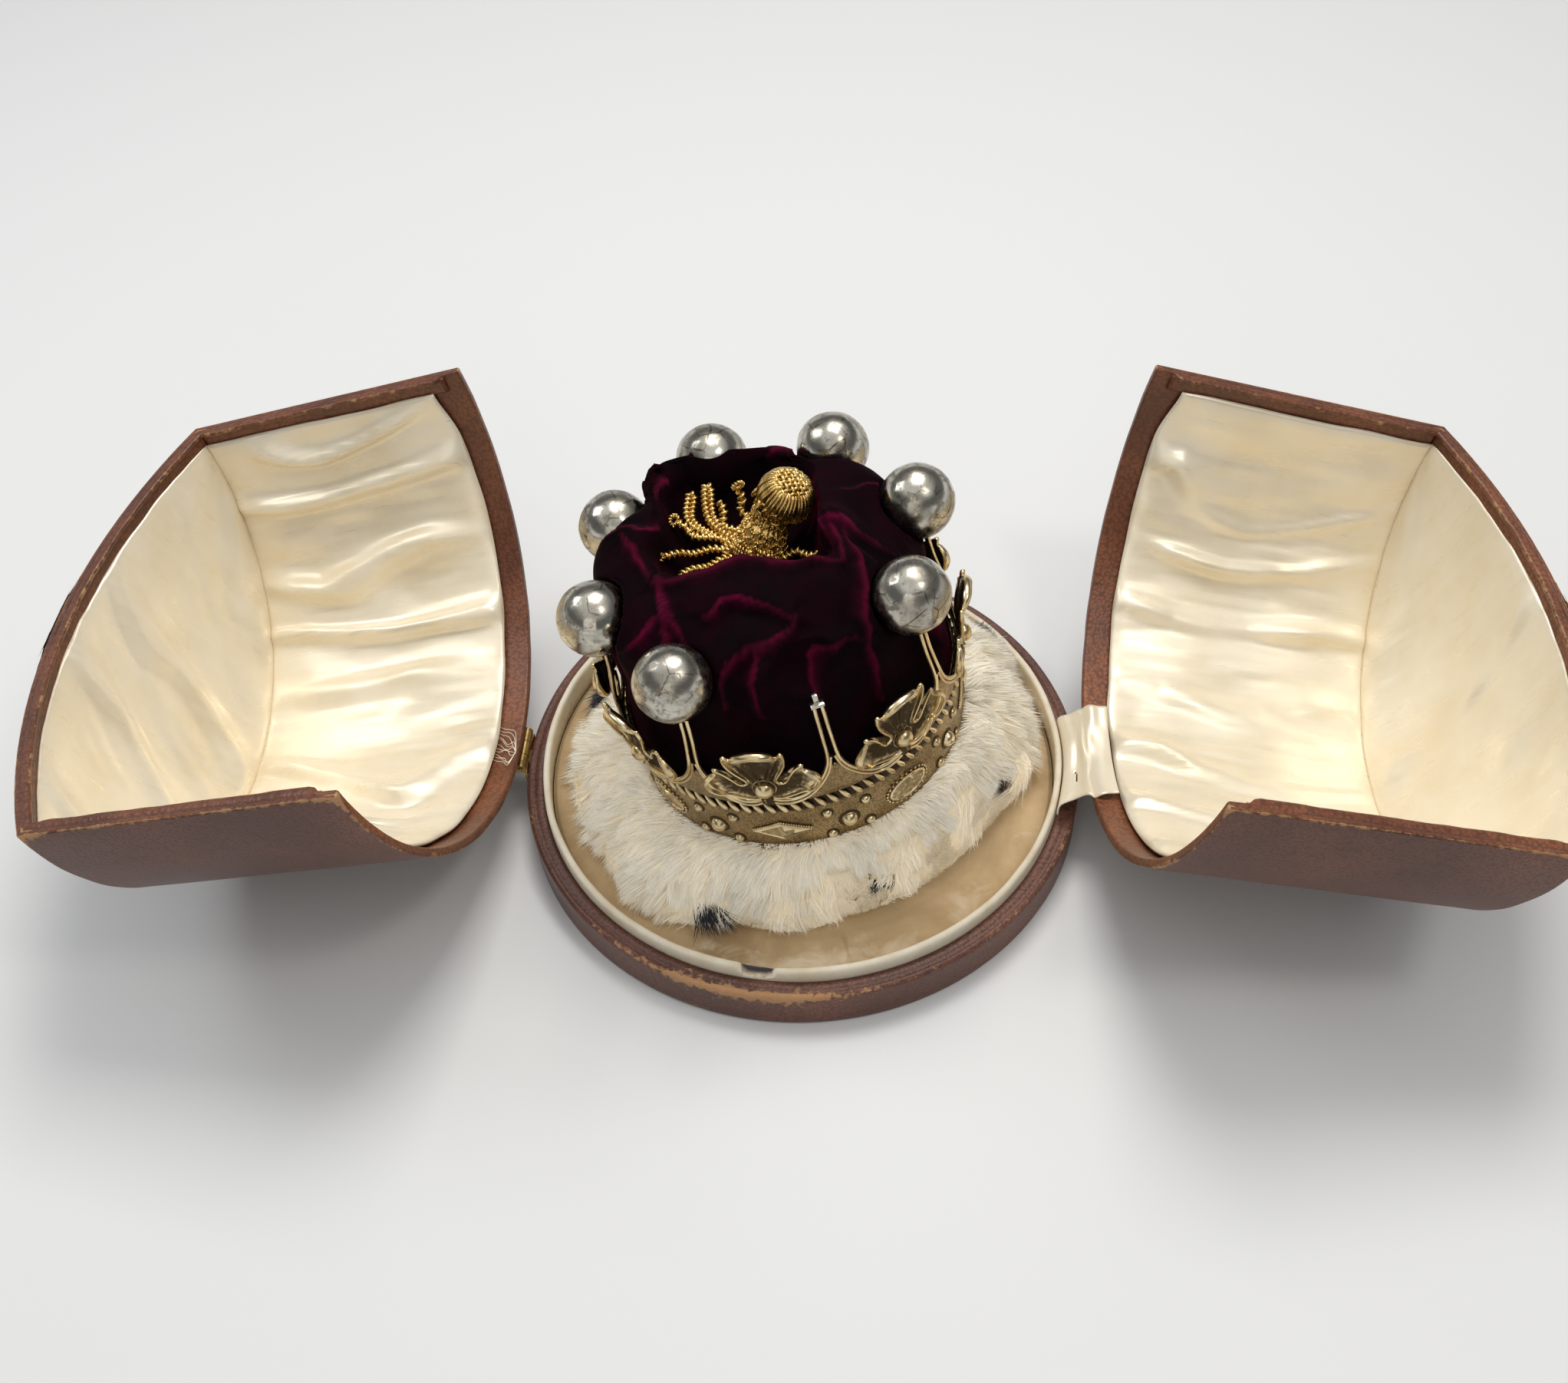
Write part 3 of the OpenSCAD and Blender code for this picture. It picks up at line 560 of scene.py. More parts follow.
def evenly(line, gap):
    # the same line with its points a set gap apart
    out, left = [line[0].copy()], gap
    for a, b in zip(line, line[1:]):
        span = (b - a).length
        done = 0.0
        while span - done >= left:
            done += left
            out.append(a.lerp(b, done / span))
            left = gap
        left -= span - done
    return out


def coiled(line, radius, pitch, around=9):
    # a helix round a line
    gap = pitch / around
    points = evenly(line, gap)
    out = []
    across = Vector((0.3, 0.2, 1))
    for i in range(len(points) - 1):
        ahead = (points[i + 1] - points[i]).normalized()
        side = across.cross(ahead).normalized()
        across = ahead.cross(side).normalized()
        turn = i * math.tau / around
        out.append(points[i] + (side * math.cos(turn) + across * math.sin(turn)) * radius)
    return out


# Case base

base = {"edge": 1.3, "bead": 107.2, "worn": (-9.5, 21.0), "steps": 240}


def addBase():
    r, h = case["baseR"], case["baseH"]
    e, bead = base["edge"], base["bead"]
    profile = [(0, 0), (60, 0), (104, 0), (r - e, 0), (r - e * 0.3, e * 0.3), (r, e), (r, 4), (r, 9),
               (r, h - 4),
               (r + 0.1, h - 2), (r, h - e), (r - e * 0.3, h - e * 0.3), (r - e, h), (bead + 0.7, h),
               (bead + 0.35, h - 0.45), (bead, h - 0.1), (bead - 0.35, h - 0.45), (bead - 0.7, h), (105, h),
               (103.6, h), (103.1, h - 0.4), (103.1, case["boardH"]), (60, case["boardH"]),
               (0, case["boardH"])]
    bm = spun(profile, base["steps"])
    wear = []
    for v in bm.verts:
        radius, a = ringPlace(v.co)
        if v.co.z > h - 5 and radius > 103:
            v.co.z += 0.25 * wave(v.co.x / 25, v.co.y / 25, 3) * smooth(h - 5, h, v.co.z)
        corner = math.hypot(max(0, r - radius), max(0, h - v.co.z))
        front = math.exp(-((a - base["worn"][0]) / base["worn"][1]) ** 2)
        near = math.exp(-corner / 2.2)
        low = math.exp(-math.hypot(r - radius, v.co.z) / 1.6)
        wear.append(near * (0.5 + 0.55 * front) + 0.5 * front * math.exp(-corner / 6) + 0.45 * low)
    piece = makePiece(bm, "baseBox", leather, "root", fix=False, wear=wear)
    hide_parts("case_base")


collar = {"tear": (-6.5, 4.2), "tearDepth": 4.5, "steps": 300}


def addCollar():
    r, t, top, low = case["collarR"], case["collarT"], case["collarTop"], case["boardH"]
    profile = [(r, low), (r, 14), (r, 18), (r, 21), (r, top - 1.0), (r - 0.35, top - 0.3), (r - 0.9, top),
               (r - t + 0.9, top), (r - t + 0.35, top - 0.3), (r - t, top - 1.0), (r - t, 21), (r - t, 17),
               (r - t, low)]
    bm = spun(profile + profile[:1], collar["steps"])
    mid, half = collar["tear"]
    soil = []
    for v in bm.verts:
        radius, a = ringPlace(v.co)
        outward = Vector((v.co.x, v.co.y, 0)).normalized()
        high = smooth(15, top, v.co.z)
        v.co.z += high * (0.5 * wave(v.co.x / 18, v.co.y / 18, 1) + 0.2 * wave(v.co.x / 5, v.co.y / 5, 2))
        v.co += outward * high * (0.35 * wave(v.co.x / 22, v.co.y / 22, 8) - 0.15)
        torn = smooth(half, half * 0.6, abs(a - mid)) * smooth(19, top, v.co.z)
        outer = smooth(r - t, r, radius)
        v.co.z -= torn * collar["tearDepth"] * (0.15 + 0.85 * outer + 0.2 * wave(a * 1.5, 3))
        uneven = 0.12 * wave(v.co.x / 9, v.co.y / 9, 5)
        # painted shadow in the tear, strongest on its inner side, darker towards the bottom, and random soil
        soil.append(1.7 * torn * (1 - 0.75 * outer) + 0.45 * (1 - high) + uneven)
    piece = makePiece(bm, "collarRing", kid, "root", fix=False, soil=soil)
    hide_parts("base_collar")


# creases: azimuth, the two radii between which they run, depth
pad = {"r": 100.1, "rise": 0.35,
       "creases": ((-0.4, 84, 102, 0.5), (0.9, 84, 102, -0.35), (13.4, 80, 95, 0.4))}


def addPad():
    low, top = case["boardH"] + 0.2, case["floorZ"]
    rings = [(0, top), (20, top), (40, top)]
    rings += [(r, top) for r in range(56, 98, 2)]
    rings += [(98, top - 0.1), (99.2, top - 0.6), (pad["r"], top - 1.6), (pad["r"], low), (60, low), (0, low)]
    bm = spun(rings, 300)
    rubbed, soil = [], []
    for v in bm.verts:
        radius, a = ringPlace(v.co)
        light = dark = 0.0
        if v.co.z > top - 1:
            v.co.z += pad["rise"] * wave(v.co.x / 26, v.co.y / 26, 4) - 0.25
            # painted shade in the creases and at the outer edge under the collar, and a darker ring near
            # radius 82
            for middle, near, far, depth in pad["creases"]:
                off = radius * math.radians(a - middle)
                ends = smooth(near, near + 3, radius) * smooth(far, far - 3, radius)
                line = math.exp(-(off / 0.45) ** 2) * ends
                v.co.z -= depth * line
                dark = max(dark, line * 0.8)
            light = 0.25 * math.exp(-((a - 8) / 30) ** 2) * smooth(84, 92, radius)
            dark = max(dark, 0.8 * smooth(97, 100, radius), 0.35 * math.exp(-((radius - 82) / 5) ** 2))
        rubbed.append(light)
        soil.append(dark)
    piece = makePiece(bm, "floorPad", plush, "root", fix=False, rubbed=rubbed, soil=soil)
    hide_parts("base_pad")


# Covers: a bell cut in half, its cut and lower edges bound in leather

shell = {"cuts": (1.2, 2.5, 4.5, 8.0, 16.0), "domeRows": 16, "steps": 96,
         "rows": (0, 1.2, 2.6, 5, 10, 24, 44, 64, 84, 102, 112, 116, 118, 119)}



def wallR(z, inset=0.0):
    return case["coverR"] - taper * (z - case["coverZ"]) - inset


def domeZ(radius, inset=0.0):
    return domeC + math.sqrt((domeR - inset) ** 2 - radius ** 2)


def edgeWear(p):
    # how near a point of the closed cover is to an outer edge
    radius = math.hypot(p.x, p.y)
    cut = max(0, -case["halfGap"] - p.x)
    out = abs(radius - wallR(min(p.z, shoulderZ)))
    if p.z > 100:
        out = min(out, abs(p.z - domeZ(min(radius, case["shoulderR"]))))
    rim = math.hypot(cut, out)
    lower = math.hypot(p.z - case["coverZ"], radius - case["coverR"])
    shoulder = math.hypot(p.z - shoulderZ, radius - case["shoulderR"])
    ends = min(math.hypot(cut, shoulder), math.hypot(cut, lower))
    return (0.78 * math.exp(-rim / 1.1) + 0.7 * math.exp(-lower / 1.3) + 0.55 * math.exp(-shoulder / 1.2)
            + 0.6 * math.exp(-ends / 4.0))


def addShell(side):
    steps, t = shell["steps"], case["shellT"]
    profile = [(wallR(case["coverZ"] + z), case["coverZ"] + z) for z in shell["rows"]]
    for i in range(1, shell["domeRows"] + 1):
        radius = case["shoulderR"] * (1 - i / shell["domeRows"])
        profile.append((radius, domeZ(radius)))
    bm = spun(profile, steps, -180)
    middle = bm.faces[0].calc_center_median()
    if bm.faces[0].normal.dot(Vector((middle.x, middle.y, 0))) < 0:
        bmesh.ops.reverse_faces(bm, faces=bm.faces)
    bmesh.ops.solidify(bm, geom=list(bm.faces), thickness=t)
    for v in bm.verts:
        if v.co.x > -0.5:
            v.co.x = -case["halfGap"]
    bm.normal_update()
    sharp = [e for e in bm.edges if len(e.link_faces) == 2 and e.calc_face_angle() > 0.6]
    bmesh.ops.bevel(bm, geom=sharp, offset=0.7, segments=3, affect="EDGES", profile=0.5, material=-1)
    for cut in shell["cuts"]:
        bmesh.ops.bisect_plane(bm, geom=list(bm.verts) + list(bm.edges) + list(bm.faces),
                               plane_co=(-cut, 0, 0), plane_no=(1, 0, 0))
    bmesh.ops.recalc_face_normals(bm, faces=bm.faces)
    for face in bm.faces:
        middle = face.calc_center_median()
        inside = math.hypot(middle.x, middle.y) < wallR(middle.z, t * 0.3)
        face.material_index = int(inside and middle.z < case["coverZ"] + lining["low"] + 8)
    wear = []
    for v in bm.verts:
        wear.append(edgeWear(v.co))
        k = smooth(0, 20, -v.co.x)
        v.co += v.normal * (0.22 * wave(v.co.x / 14, v.co.y / 14, v.co.z / 14) * (0.4 + 0.6 * k))
    piece = makePiece(bm, side + "Shell", leather, side + "_cover", openPlace[side], fix=False, wear=wear)
    piece.data.materials.append(rimLeather)
    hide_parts(side + "_shell")


# Leather on the cut edge: a strip inside it, a tooled facing on it, and a bead along the lower edge

rim = {"deep": 7.2, "sink": 0.8, "thick": 1.2, "line": 0.34, "face": 5.9, "sideSteps": 14, "domeSteps": 28}
# the facing's section; columns: share of its width, height over the cut
facing = ((0.0, -1.3), (0.0, -0.1), (0.12, 0.0), (0.3, -0.12), (0.36, -0.34), (0.42, -0.12), (0.6, 0.02),
          (0.84, 0.0), (0.97, -0.2), (1.0, -0.9), (0.97, -1.7), (0.5, -1.8))


def rimOutline(inset, raised=0.6):
    # the cut edge from the front lower corner over the dome to the back lower corner
    low, steps = case["coverZ"] + raised, rim["sideSteps"]
    heights = [low + (shoulderZ - low) * k / steps for k in range(steps)]
    edge = case["shoulderR"] - inset * 0.88
    over = [-edge * math.cos(math.pi * k / rim["domeSteps"]) for k in range(rim["domeSteps"] + 1)]
    return ([(-wallR(z, inset), z) for z in heights] + [(y, domeZ(abs(y), inset)) for y in over]
            + [(wallR(z, inset), z) for z in reversed(heights)])


def addRims(side):
    inset, raised = case["shellT"] + rim["thick"] * 0.5, case["collarTop"] + 1 - case["coverZ"]
    strip = np.array(rimOutline(inset, raised))
    x0, x1 = -case["halfGap"] - rim["sink"], -case["halfGap"] - rim["deep"]

    def where(u, v):
        k = u * (len(strip) - 1)
        y, z = (np.interp(k, range(len(strip)), strip[:, c]) for c in (0, 1))
        x = x0 + (x1 - x0) * v + 0.35 * waves(y / 9, z / 9) * (1 - v)
        return np.stack([x, y, z], -1)

    bm = gridSheet(3 * len(strip), 8, where)
    wear = [0.62 * math.exp(-abs(v.co.x - x0) / 0.7) for v in bm.verts]
    piece = makePiece(bm, side + "RimStrip", rimLeather, side + "_cover", openPlace[side], wear=wear)
    thicken(piece, rim["thick"], 0)
    addRimFace(side)


def addRimFace(side):
    # the facing stands in past the wall above the collar
    outer, inner = (np.array(rimOutline(inset)) for inset in (0.3, rim["face"]))
    narrow = np.array(rimOutline(case["shellT"]))
    wear = []

    def where(u, v):
        k = u * (len(outer) - 1)
        row = v * (len(facing) - 1)
        share, x = (np.interp(row, range(len(facing)), [p[c] for p in facing]) for c in (0, 1))
        first, second, third = (np.stack([np.interp(k, range(len(outer)), line[:, c]) for c in (0, 1)], -1)
                                for line in (outer, inner, narrow))
        wide = ease(case["collarTop"] + 1.5, case["collarTop"] + 4, second[:, 1])[:, None]
        at = first + (third + (second - third) * wide - first) * share[:, None]
        uneven = 0.25 * waves(at[:, 0] / 6, at[:, 1] / 6, 4) * share
        at += (first - second) / rim["face"] * uneven[:, None]
        wear.extend(0.78 * np.exp(-(share / 0.1) ** 2) + 0.5 * np.exp(-((share - 0.97) / 0.06) ** 2)
                    + 0.3 * np.exp(-((share - 0.36) / 0.05) ** 2))
        return np.stack([x - case["halfGap"] + 0.12, at[:, 0], at[:, 1]], -1)

    bm = gridSheet(4 * len(outer), len(facing) - 1, where)
    markCorners(bm, "wear", wear)
    makePiece(bm, side + "RimFace", rimLeather, side + "_cover", openPlace[side])
    r = case["coverR"] - case["shellT"] * 0.52
    arc = [Vector((-r * math.sin(math.radians(a)), -r * math.cos(math.radians(a)), case["coverZ"] + 0.42))
           for a in range(2, 179, 2)]
    wires(side + "RimLine", [arc], rim["line"], rimLeather, side + "_cover", openPlace[side], wear=0.55)


def thicken(piece, thickness, offset):
    solid = piece.modifiers.new("thickness", "SOLIDIFY")
    solid.thickness = thickness * mm
    solid.offset = offset


# Linings: satin over wadding, in wave folds

lining = {"low": 9.0, "high": 116.0, "edge": 6.5, "cloth": 1.0, "depth": 7.4, "columns": 160, "rows": 70,
          "waveLength": 33.0, "bow": 17.0}
# nearBalls: radius of the ring where the closed lining comes near the balls, and half its width
endLining = {"columns": 110, "rows": 66, "waveLength": 48.0, "bow": 16.0, "thin": 0.8,
             "nearBalls": (69.0, 19.0), "pressed": {"left": 0.2, "right": 1.0}}


def satinFolds(around, along, tall, seed, length, bow):
    # 0 in the hollows and 1 on the crests, which peak halfway up and fall steeply on one side
    peak = np.abs(along / tall - 0.52 - 0.22 * waves(around / 45, seed)) * 2
    drift = bow * (1 - np.clip(peak, 0, 1) ** 1.2) * (0.7 + 0.8 * waves(around / 38, seed + 5))
    drift = drift + 4 * waves(around / 60, along / 45, seed)
    turn = (around + drift) * math.tau / length
    turn = turn + 0.95 * np.sin(turn + 0.8)
    crest = (0.5 + 0.5 * np.cos(turn)) ** 1.7
    amount = np.clip(0.75 + 0.9 * waves(around / 27, along / 40, seed + 7), 0.3, 1.3)
    soft = 0.22 * waves(around / 15, along / 30, seed + 3) + 0.06 * waves(around / 4, along / 20, seed + 2)
    return np.clip(crest * amount + soft + 0.16, 0, 1.3)


def pillow(distances, reach):
    # rise from the sewn edges to the full padding
    rise = 1.0
    for d in distances:
        rise = rise * (1 - np.exp(-np.maximum(0, d) / reach))
    return rise


def addSideLining(side, seed):
    span = 90 - math.degrees(math.asin(lining["edge"] / case["shoulderR"]))
    tall = lining["high"] - lining["low"]
    full = math.radians(span) * case["shoulderR"]

    def where(u, v):
        around = (2 * u - 1) * full
        along = tall * v
        drawn = ease(6, 0, full - np.abs(around)) * (0.2 + 0.25 * waves(along / 16, seed))
        around = around - drawn * np.sign(around)
        z = lining["low"] + along + ease(7, 0, along) * (0.3 + 0.35 * waves(around / 15, seed + 1))
        z = z + ease(10, 0, along) * ease(22, 0, full - np.abs(around)) * 4  # raised at its lower corners
        rise = pillow((full - np.abs(around) + 0.4, along + 0.2, tall - along + 0.2), 1.5)
        fold = satinFolds(around, along, tall, seed, lining["waveLength"], lining["bow"])
        fade = 0.06 + 0.94 * pillow((full - np.abs(around), along + 1, tall - along + 2), 8)
        depth = 0.35 + lining["cloth"] * 0.5 + rise * (0.9 + (lining["depth"] - 2) * fold * fade)
        r = wallR(case["coverZ"] + z, case["shellT"] + 0.35 + depth)
        a = around / case["shoulderR"]
        return np.stack([-r * np.cos(a), r * np.sin(a), case["coverZ"] + z], -1)

    bm = gridSheet(lining["columns"], lining["rows"], where)
    fitCloth(bm, 2 * full, tall)
    piece = makePiece(bm, side + "SideLining", satin, side + "_cover", openPlace[side])
    thicken(piece, lining["cloth"], 0)
    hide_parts(side + "_side_lining")


def fitCloth(bm, width, height):
    # the cloth's own map in metres, across and along the threads
    layer = bm.loops.layers.uv.active
    for face in bm.faces:
        for loop in face.loops:
            loop[layer].uv.x *= width * mm
            loop[layer].uv.y *= height * mm


def addEndLining(side, seed):
    outer = wallR(case["coverZ"] + lining["high"], case["shellT"] + 1.0)
    inset = case["shellT"] + 0.35
    half = math.sqrt(outer ** 2 - (lining["edge"] + 1.5) ** 2)
    ring, width = endLining["nearBalls"]

    def where(u, v):
        y = (2 * u - 1) * half
        far = np.sqrt(outer ** 2 - y * y)
        edge = lining["edge"] - 0.5 + 0.25 * waves(y / 14, seed) + 0.12 * waves(y / 5, seed + 1)
        x = edge + (far - edge) * v
        radius = np.hypot(x, y)
        across, down = x * 0.55 + y * 0.83, y * 0.55 - x * 0.83
        rise = pillow((x - edge + 0.3, outer - radius + 0.3), 1.8)
        fold = satinFolds(across, down + 60, 120, seed, endLining["waveLength"], endLining["bow"])
        near = endLining["pressed"][side] * np.exp(-((radius - ring) / width) ** 4)
        loft = 0.9 - 0.6 * near + (3.8 - 3.5 * near) * fold * pillow((x - edge, outer - radius), 9)
        depth = 0.3 + lining["cloth"] * 0.5 + rise * loft
        z = domeC + np.sqrt((domeR - inset - depth) ** 2 - radius ** 2)
        return np.stack([-x, y, z], -1)

    bm = gridSheet(endLining["columns"], endLining["rows"], where)
    fitCloth(bm, 2 * outer, outer)
    piece = makePiece(bm, side + "EndLining", satin, side + "_cover", openPlace[side])
    thicken(piece, lining["cloth"] * endLining["thin"], 0)
    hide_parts(side + "_end_lining")


# Satin strip over the right hinge

strip = {"front": -29.0, "back": 16.0, "cloth": 0.6, "rows": 40, "columns": 44, "holeY": (-18.8, -13.2),
         "holeX": (106.9, 107.6), "bendY": -11.0, "bendX": (-6.0, 1.0), "bendZ": (22.0, 30.0)}


def stripPath(y):
    r = case["coverR"] - case["shellT"]
    swing = math.radians(openAngle)
    dx, dz = hingeX - math.sqrt(r * r - y * y), case["coverZ"] - hingeZ
    lip = Vector((hingeX - dx * math.cos(swing) + dz * math.sin(swing), y,
                  hingeZ + dx * math.sin(swing) + dz * math.cos(swing)))
    foot = Vector((math.sqrt((case["collarR"] + 0.5) ** 2 - y * y), y, 21.5))
    path = [foot, foot + Vector((0.9, 0, 3.6)), (foot + lip) / 2 + Vector((0.5, 0, 1.8))]
    return path + [lip + Vector((x, 0, z)) for x, z in ((-1.7, -0.6), (0.3, 1.3), (4.4, 1.6), (8.8, 1.0))]


def addStrip():
    ys = np.linspace(strip["front"], strip["back"], 24)
    lines = np.array([[list(p) for p in curved(stripPath(y), 8)] for y in ys])
    reach = float(np.linalg.norm(np.diff(lines, axis=1), axis=2).sum(1).mean())
    wide = strip["back"] - strip["front"]
    places = np.arange(lines.shape[1]) / (lines.shape[1] - 1)

    def where(u, v):
        y = strip["front"] + wide * v
        k = v * (len(ys) - 1)
        low = np.minimum(k.astype(int), len(ys) - 2)
        first, second = (np.array([[np.interp(s, places, lines[i, :, c]) for c in range(3)]
                                   for s, i in zip(u, row)]) for row in (low, low + 1))
        at = first + (second - first) * (k - low)[:, None]
        held = np.sin(math.pi * u)
        pleat = np.sin(u * 19 + 1.5 * waves(y / 12, u * 3)) * 0.75 + 1.1 * waves(u * 5, y / 13)
        at[:, 2] += 0.6 + pleat * held * 0.9
        at[:, 0] += 0.5 * waves(u * 4, y / 9, 3) * held
        flare = ease(-22, strip["front"], y)
        at[:, 1] -= flare * (1.5 * waves(u * 3, 7.0) + 0.8)
        return at

    bm = gridSheet(strip["columns"], strip["rows"], where)
    fitCloth(bm, reach, wide)
    middles = {face: face.calc_center_median() for face in bm.faces}
    hole = [face for face, at in middles.items()
            if strip["holeY"][0] < at.y < strip["holeY"][1] and strip["holeX"][0] < at.x < strip["holeX"][1]]
    bmesh.ops.delete(bm, geom=hole, context="FACES")
    piece = makePiece(bm, "hingeStrip", satin, None)
    thicken(piece, strip["cloth"], 0)
    bend = zip(strip["bendX"], strip["bendZ"])
    start, end = (((hingeX + x) * mm, strip["bendY"] * mm, z * mm) for x, z in bend)
    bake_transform(piece)
    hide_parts("hinge_strip")


silk = {"ends": 11, "thick": 0.15}


def addThreads():
    # loose ends of sewing silk on the wall below the left lining
    lines = []
    for i in range(silk["ends"]):
        y = 7 - 1.7 * i + 2 * wave(i * 3.1, 2)
        spots = ((y, 103.2, 29.4),
                 (y - 2 - 3 * wave(i, 6), 103.45, 26.2),
                 (y - 3 + 6 * wave(i * 1.9, 7), 103.45, 23.2),
                 (y - 5 + 7 * wave(i * 2.7, 3), 103.45, 20.8),
                 (-8 + 5 * wave(i * 4.1, 9), 103.45, 18.8))
        lines.append(curved([Vector((-math.sqrt(r * r - y * y), y, z)) for y, r, z in spots], 8))
    wires("silkEnds", lines, silk["thick"], satin, "left_cover", openPlace["left"])


# The circlet: band, rope, jewels, leaves, stalks and pegs

band = {"wall": 1.4, "steps": 192}


def addBand():
    r, low, top, w = coronet["bandR"], coronet["bandLow"], coronet["bandTop"], band["wall"]
    rows = [low + 0.5, low + 3, 42, 46, 50, 54, 58, 62, 66, 68]
    profile = [(r - w, top), (r - w, 55), (r - w, low), (r - 0.3, low), (r, low + 0.5)]
    profile += [(r, z) for z in rows[1:]] + [(r, 72), (r, top - 0.6), (r - 0.4, top)]
    bm = spun(profile + profile[:1], band["steps"])
    dark = []
    for v in bm.verts:
        radius = math.hypot(v.co.x, v.co.y)
        # painted shade with tarnish: darker under the rope, behind it, towards the lower edge and on the
        # inside
        shade = 0.75 * math.exp(-abs(v.co.z - rope["low"]) / 1.5) + 0.8 * smooth(52, 45, v.co.z)
        shade += smooth(66.5, 67.5, v.co.z)
        dark.append(shade if radius > r - 1 else 0.5)
    piece = makePiece(bm, "band", matted, "root", onCoronet, fix=False, dark=dark)
    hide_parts("circlet")


rope = {"count": 88, "long": 7.6, "wide": 2.6, "thick": 2.8, "slant": -29.0, "low": 66.8, "top": 73.4}


def addRope():
    # slanted leaves, each pointed at its upper end
    whole = bmesh.new()
    middle = (rope["low"] + rope["top"]) / 2
    for i in range(rope["count"]):
        a = i * 360 / rope["count"]
        made = bmesh.ops.create_uvsphere(whole, u_segments=10, v_segments=8, radius=0.5)["verts"]
        bmesh.ops.scale(whole, verts=made, vec=(rope["wide"], rope["thick"], rope["long"]))
        for v in made:
            v.co.x *= 0.85 - 0.75 * v.co.z / rope["long"]
            v.co.y *= 0.95 - 0.45 * v.co.z / rope["long"]
        turned(whole, made, rope["slant"], "Y")
        moved(whole, made, (0, -coronet["bandR"] - 0.5, middle))
        turned(whole, made, a)
    # painted shade with tarnish where the gadroons meet the band
    dark = [smooth(1.35, 0.4, math.hypot(v.co.x, v.co.y) - coronet["bandR"]) for v in whole.verts]
    makePiece(whole, "ropeMoulding", gilt, "root", onCoronet, fix=False, dark=dark)


studs = {"big": 3.2, "small": 1.9, "bigZ": 55.0, "smallZ": (49.5, 61.5), "off": 6.6}


def addStuds():
    whole = bmesh.new()
    for a in stalkTurns:
        spots = [(a, studs["bigZ"], studs["big"])]
        spots += [(a + s * studs["off"], z, studs["small"]) for s in (-1, 1) for z in studs["smallZ"]]
        for at, z, r in spots:
            rings = [(0.0, r * 0.92), (r * 0.45, r * 0.84), (r * 0.78, r * 0.56), (r * 0.93, r * 0.22),
                     (r * 0.95, 0.05), (r * 1.1, 0.12), (r * 1.28, 0.1), (r * 1.36, -0.5)]
            one = spun(rings, 16)
            setOnRing(one, coronet["bandR"], z, at)
            joinInto(whole, one)
    bmesh.ops.recalc_face_normals(whole, faces=whole.faces)
    # painted shade with tarnish round each stud's foot
    dark = [0.95 * smooth(0.75, 0.15, ringPlace(v.co)[0] - coronet["bandR"]) for v in whole.verts]
    makePiece(whole, "studs", gilt, "root", onCoronet, fix=False, dark=dark)


def setOnRing(bm, radius, height, azimuth):
    # what was made flat faces outwards from the ring
    turned(bm, bm.verts, 90, "X")
    moved(bm, bm.verts, (0, -radius, height))
    turned(bm, bm.verts, azimuth)


def joinInto(whole, one):
    mesh = bpy.data.meshes.new("part")
    one.to_mesh(mesh)
    one.free()
    whole.from_mesh(mesh)
    bpy.data.meshes.remove(mesh)


jewels = {"lozenge": (11.0, 4.6), "oval": (8.6, 5.2), "z": 55.5, "beadR": 0.55, "beads": 26}


def addJewels():
    whole, beads = bmesh.new(), bmesh.new()
    for k, a in enumerate(leafTurns):
        one = bmesh.new()
        lozenge = k % 2 == 0
        wide, tall = jewels["lozenge" if lozenge else "oval"]
        made = bmesh.ops.create_circle(one, cap_ends=True, segments=4 if lozenge else 16, radius=1.0)["verts"]
        bmesh.ops.scale(one, verts=made, vec=(wide, tall, 1))
        for inset, lift in ((0.0, 1.1), (0.7, 0.25), (0.35, -0.45), (1.3, 1.25)):
            face = max(one.faces, key=lambda f: f.calc_center_median().z)
            if inset == 0:
                up = corners(bmesh.ops.extrude_face_region(one, geom=[face]))
                bmesh.ops.delete(one, geom=[face], context="FACES_ONLY")
                moved(one, up, (0, 0, lift))
            else:
                bmesh.ops.inset_region(one, faces=[face], thickness=inset, depth=0.0, use_even_offset=True)
                moved(one, face.verts, (0, 0, lift))
        if lozenge:
            face = max(one.faces, key=lambda f: f.calc_center_median().z)
            bmesh.ops.poke(one, faces=[face], offset=0.5)
        for v in one.verts:
            v.co.z -= v.co.x ** 2 / (2 * coronet["bandR"])  # bent to the band
        setOnRing(one, coronet["bandR"] - 0.3, jewels["z"], a)
        bmesh.ops.recalc_face_normals(one, faces=one.faces)
        joinInto(whole, one)
        addBeads(beads, a, wide, tall, lozenge)
    # painted shade with tarnish round each plate's foot
    dark = [0.85 * smooth(1.0, 0.2, ringPlace(v.co)[0] - coronet["bandR"]) for v in whole.verts]
    makePiece(whole, "jewelPlates", gilt, "root", onCoronet, fix=False, shaded=False, dark=dark)
    # painted shade with tarnish round the beads' feet
    dark = [0.4 * smooth(1.2, 0.4, ringPlace(v.co)[0] - coronet["bandR"]) for v in beads.verts]
    makePiece(beads, "beading", gilt, "root", onCoronet, fix=False, dark=dark)


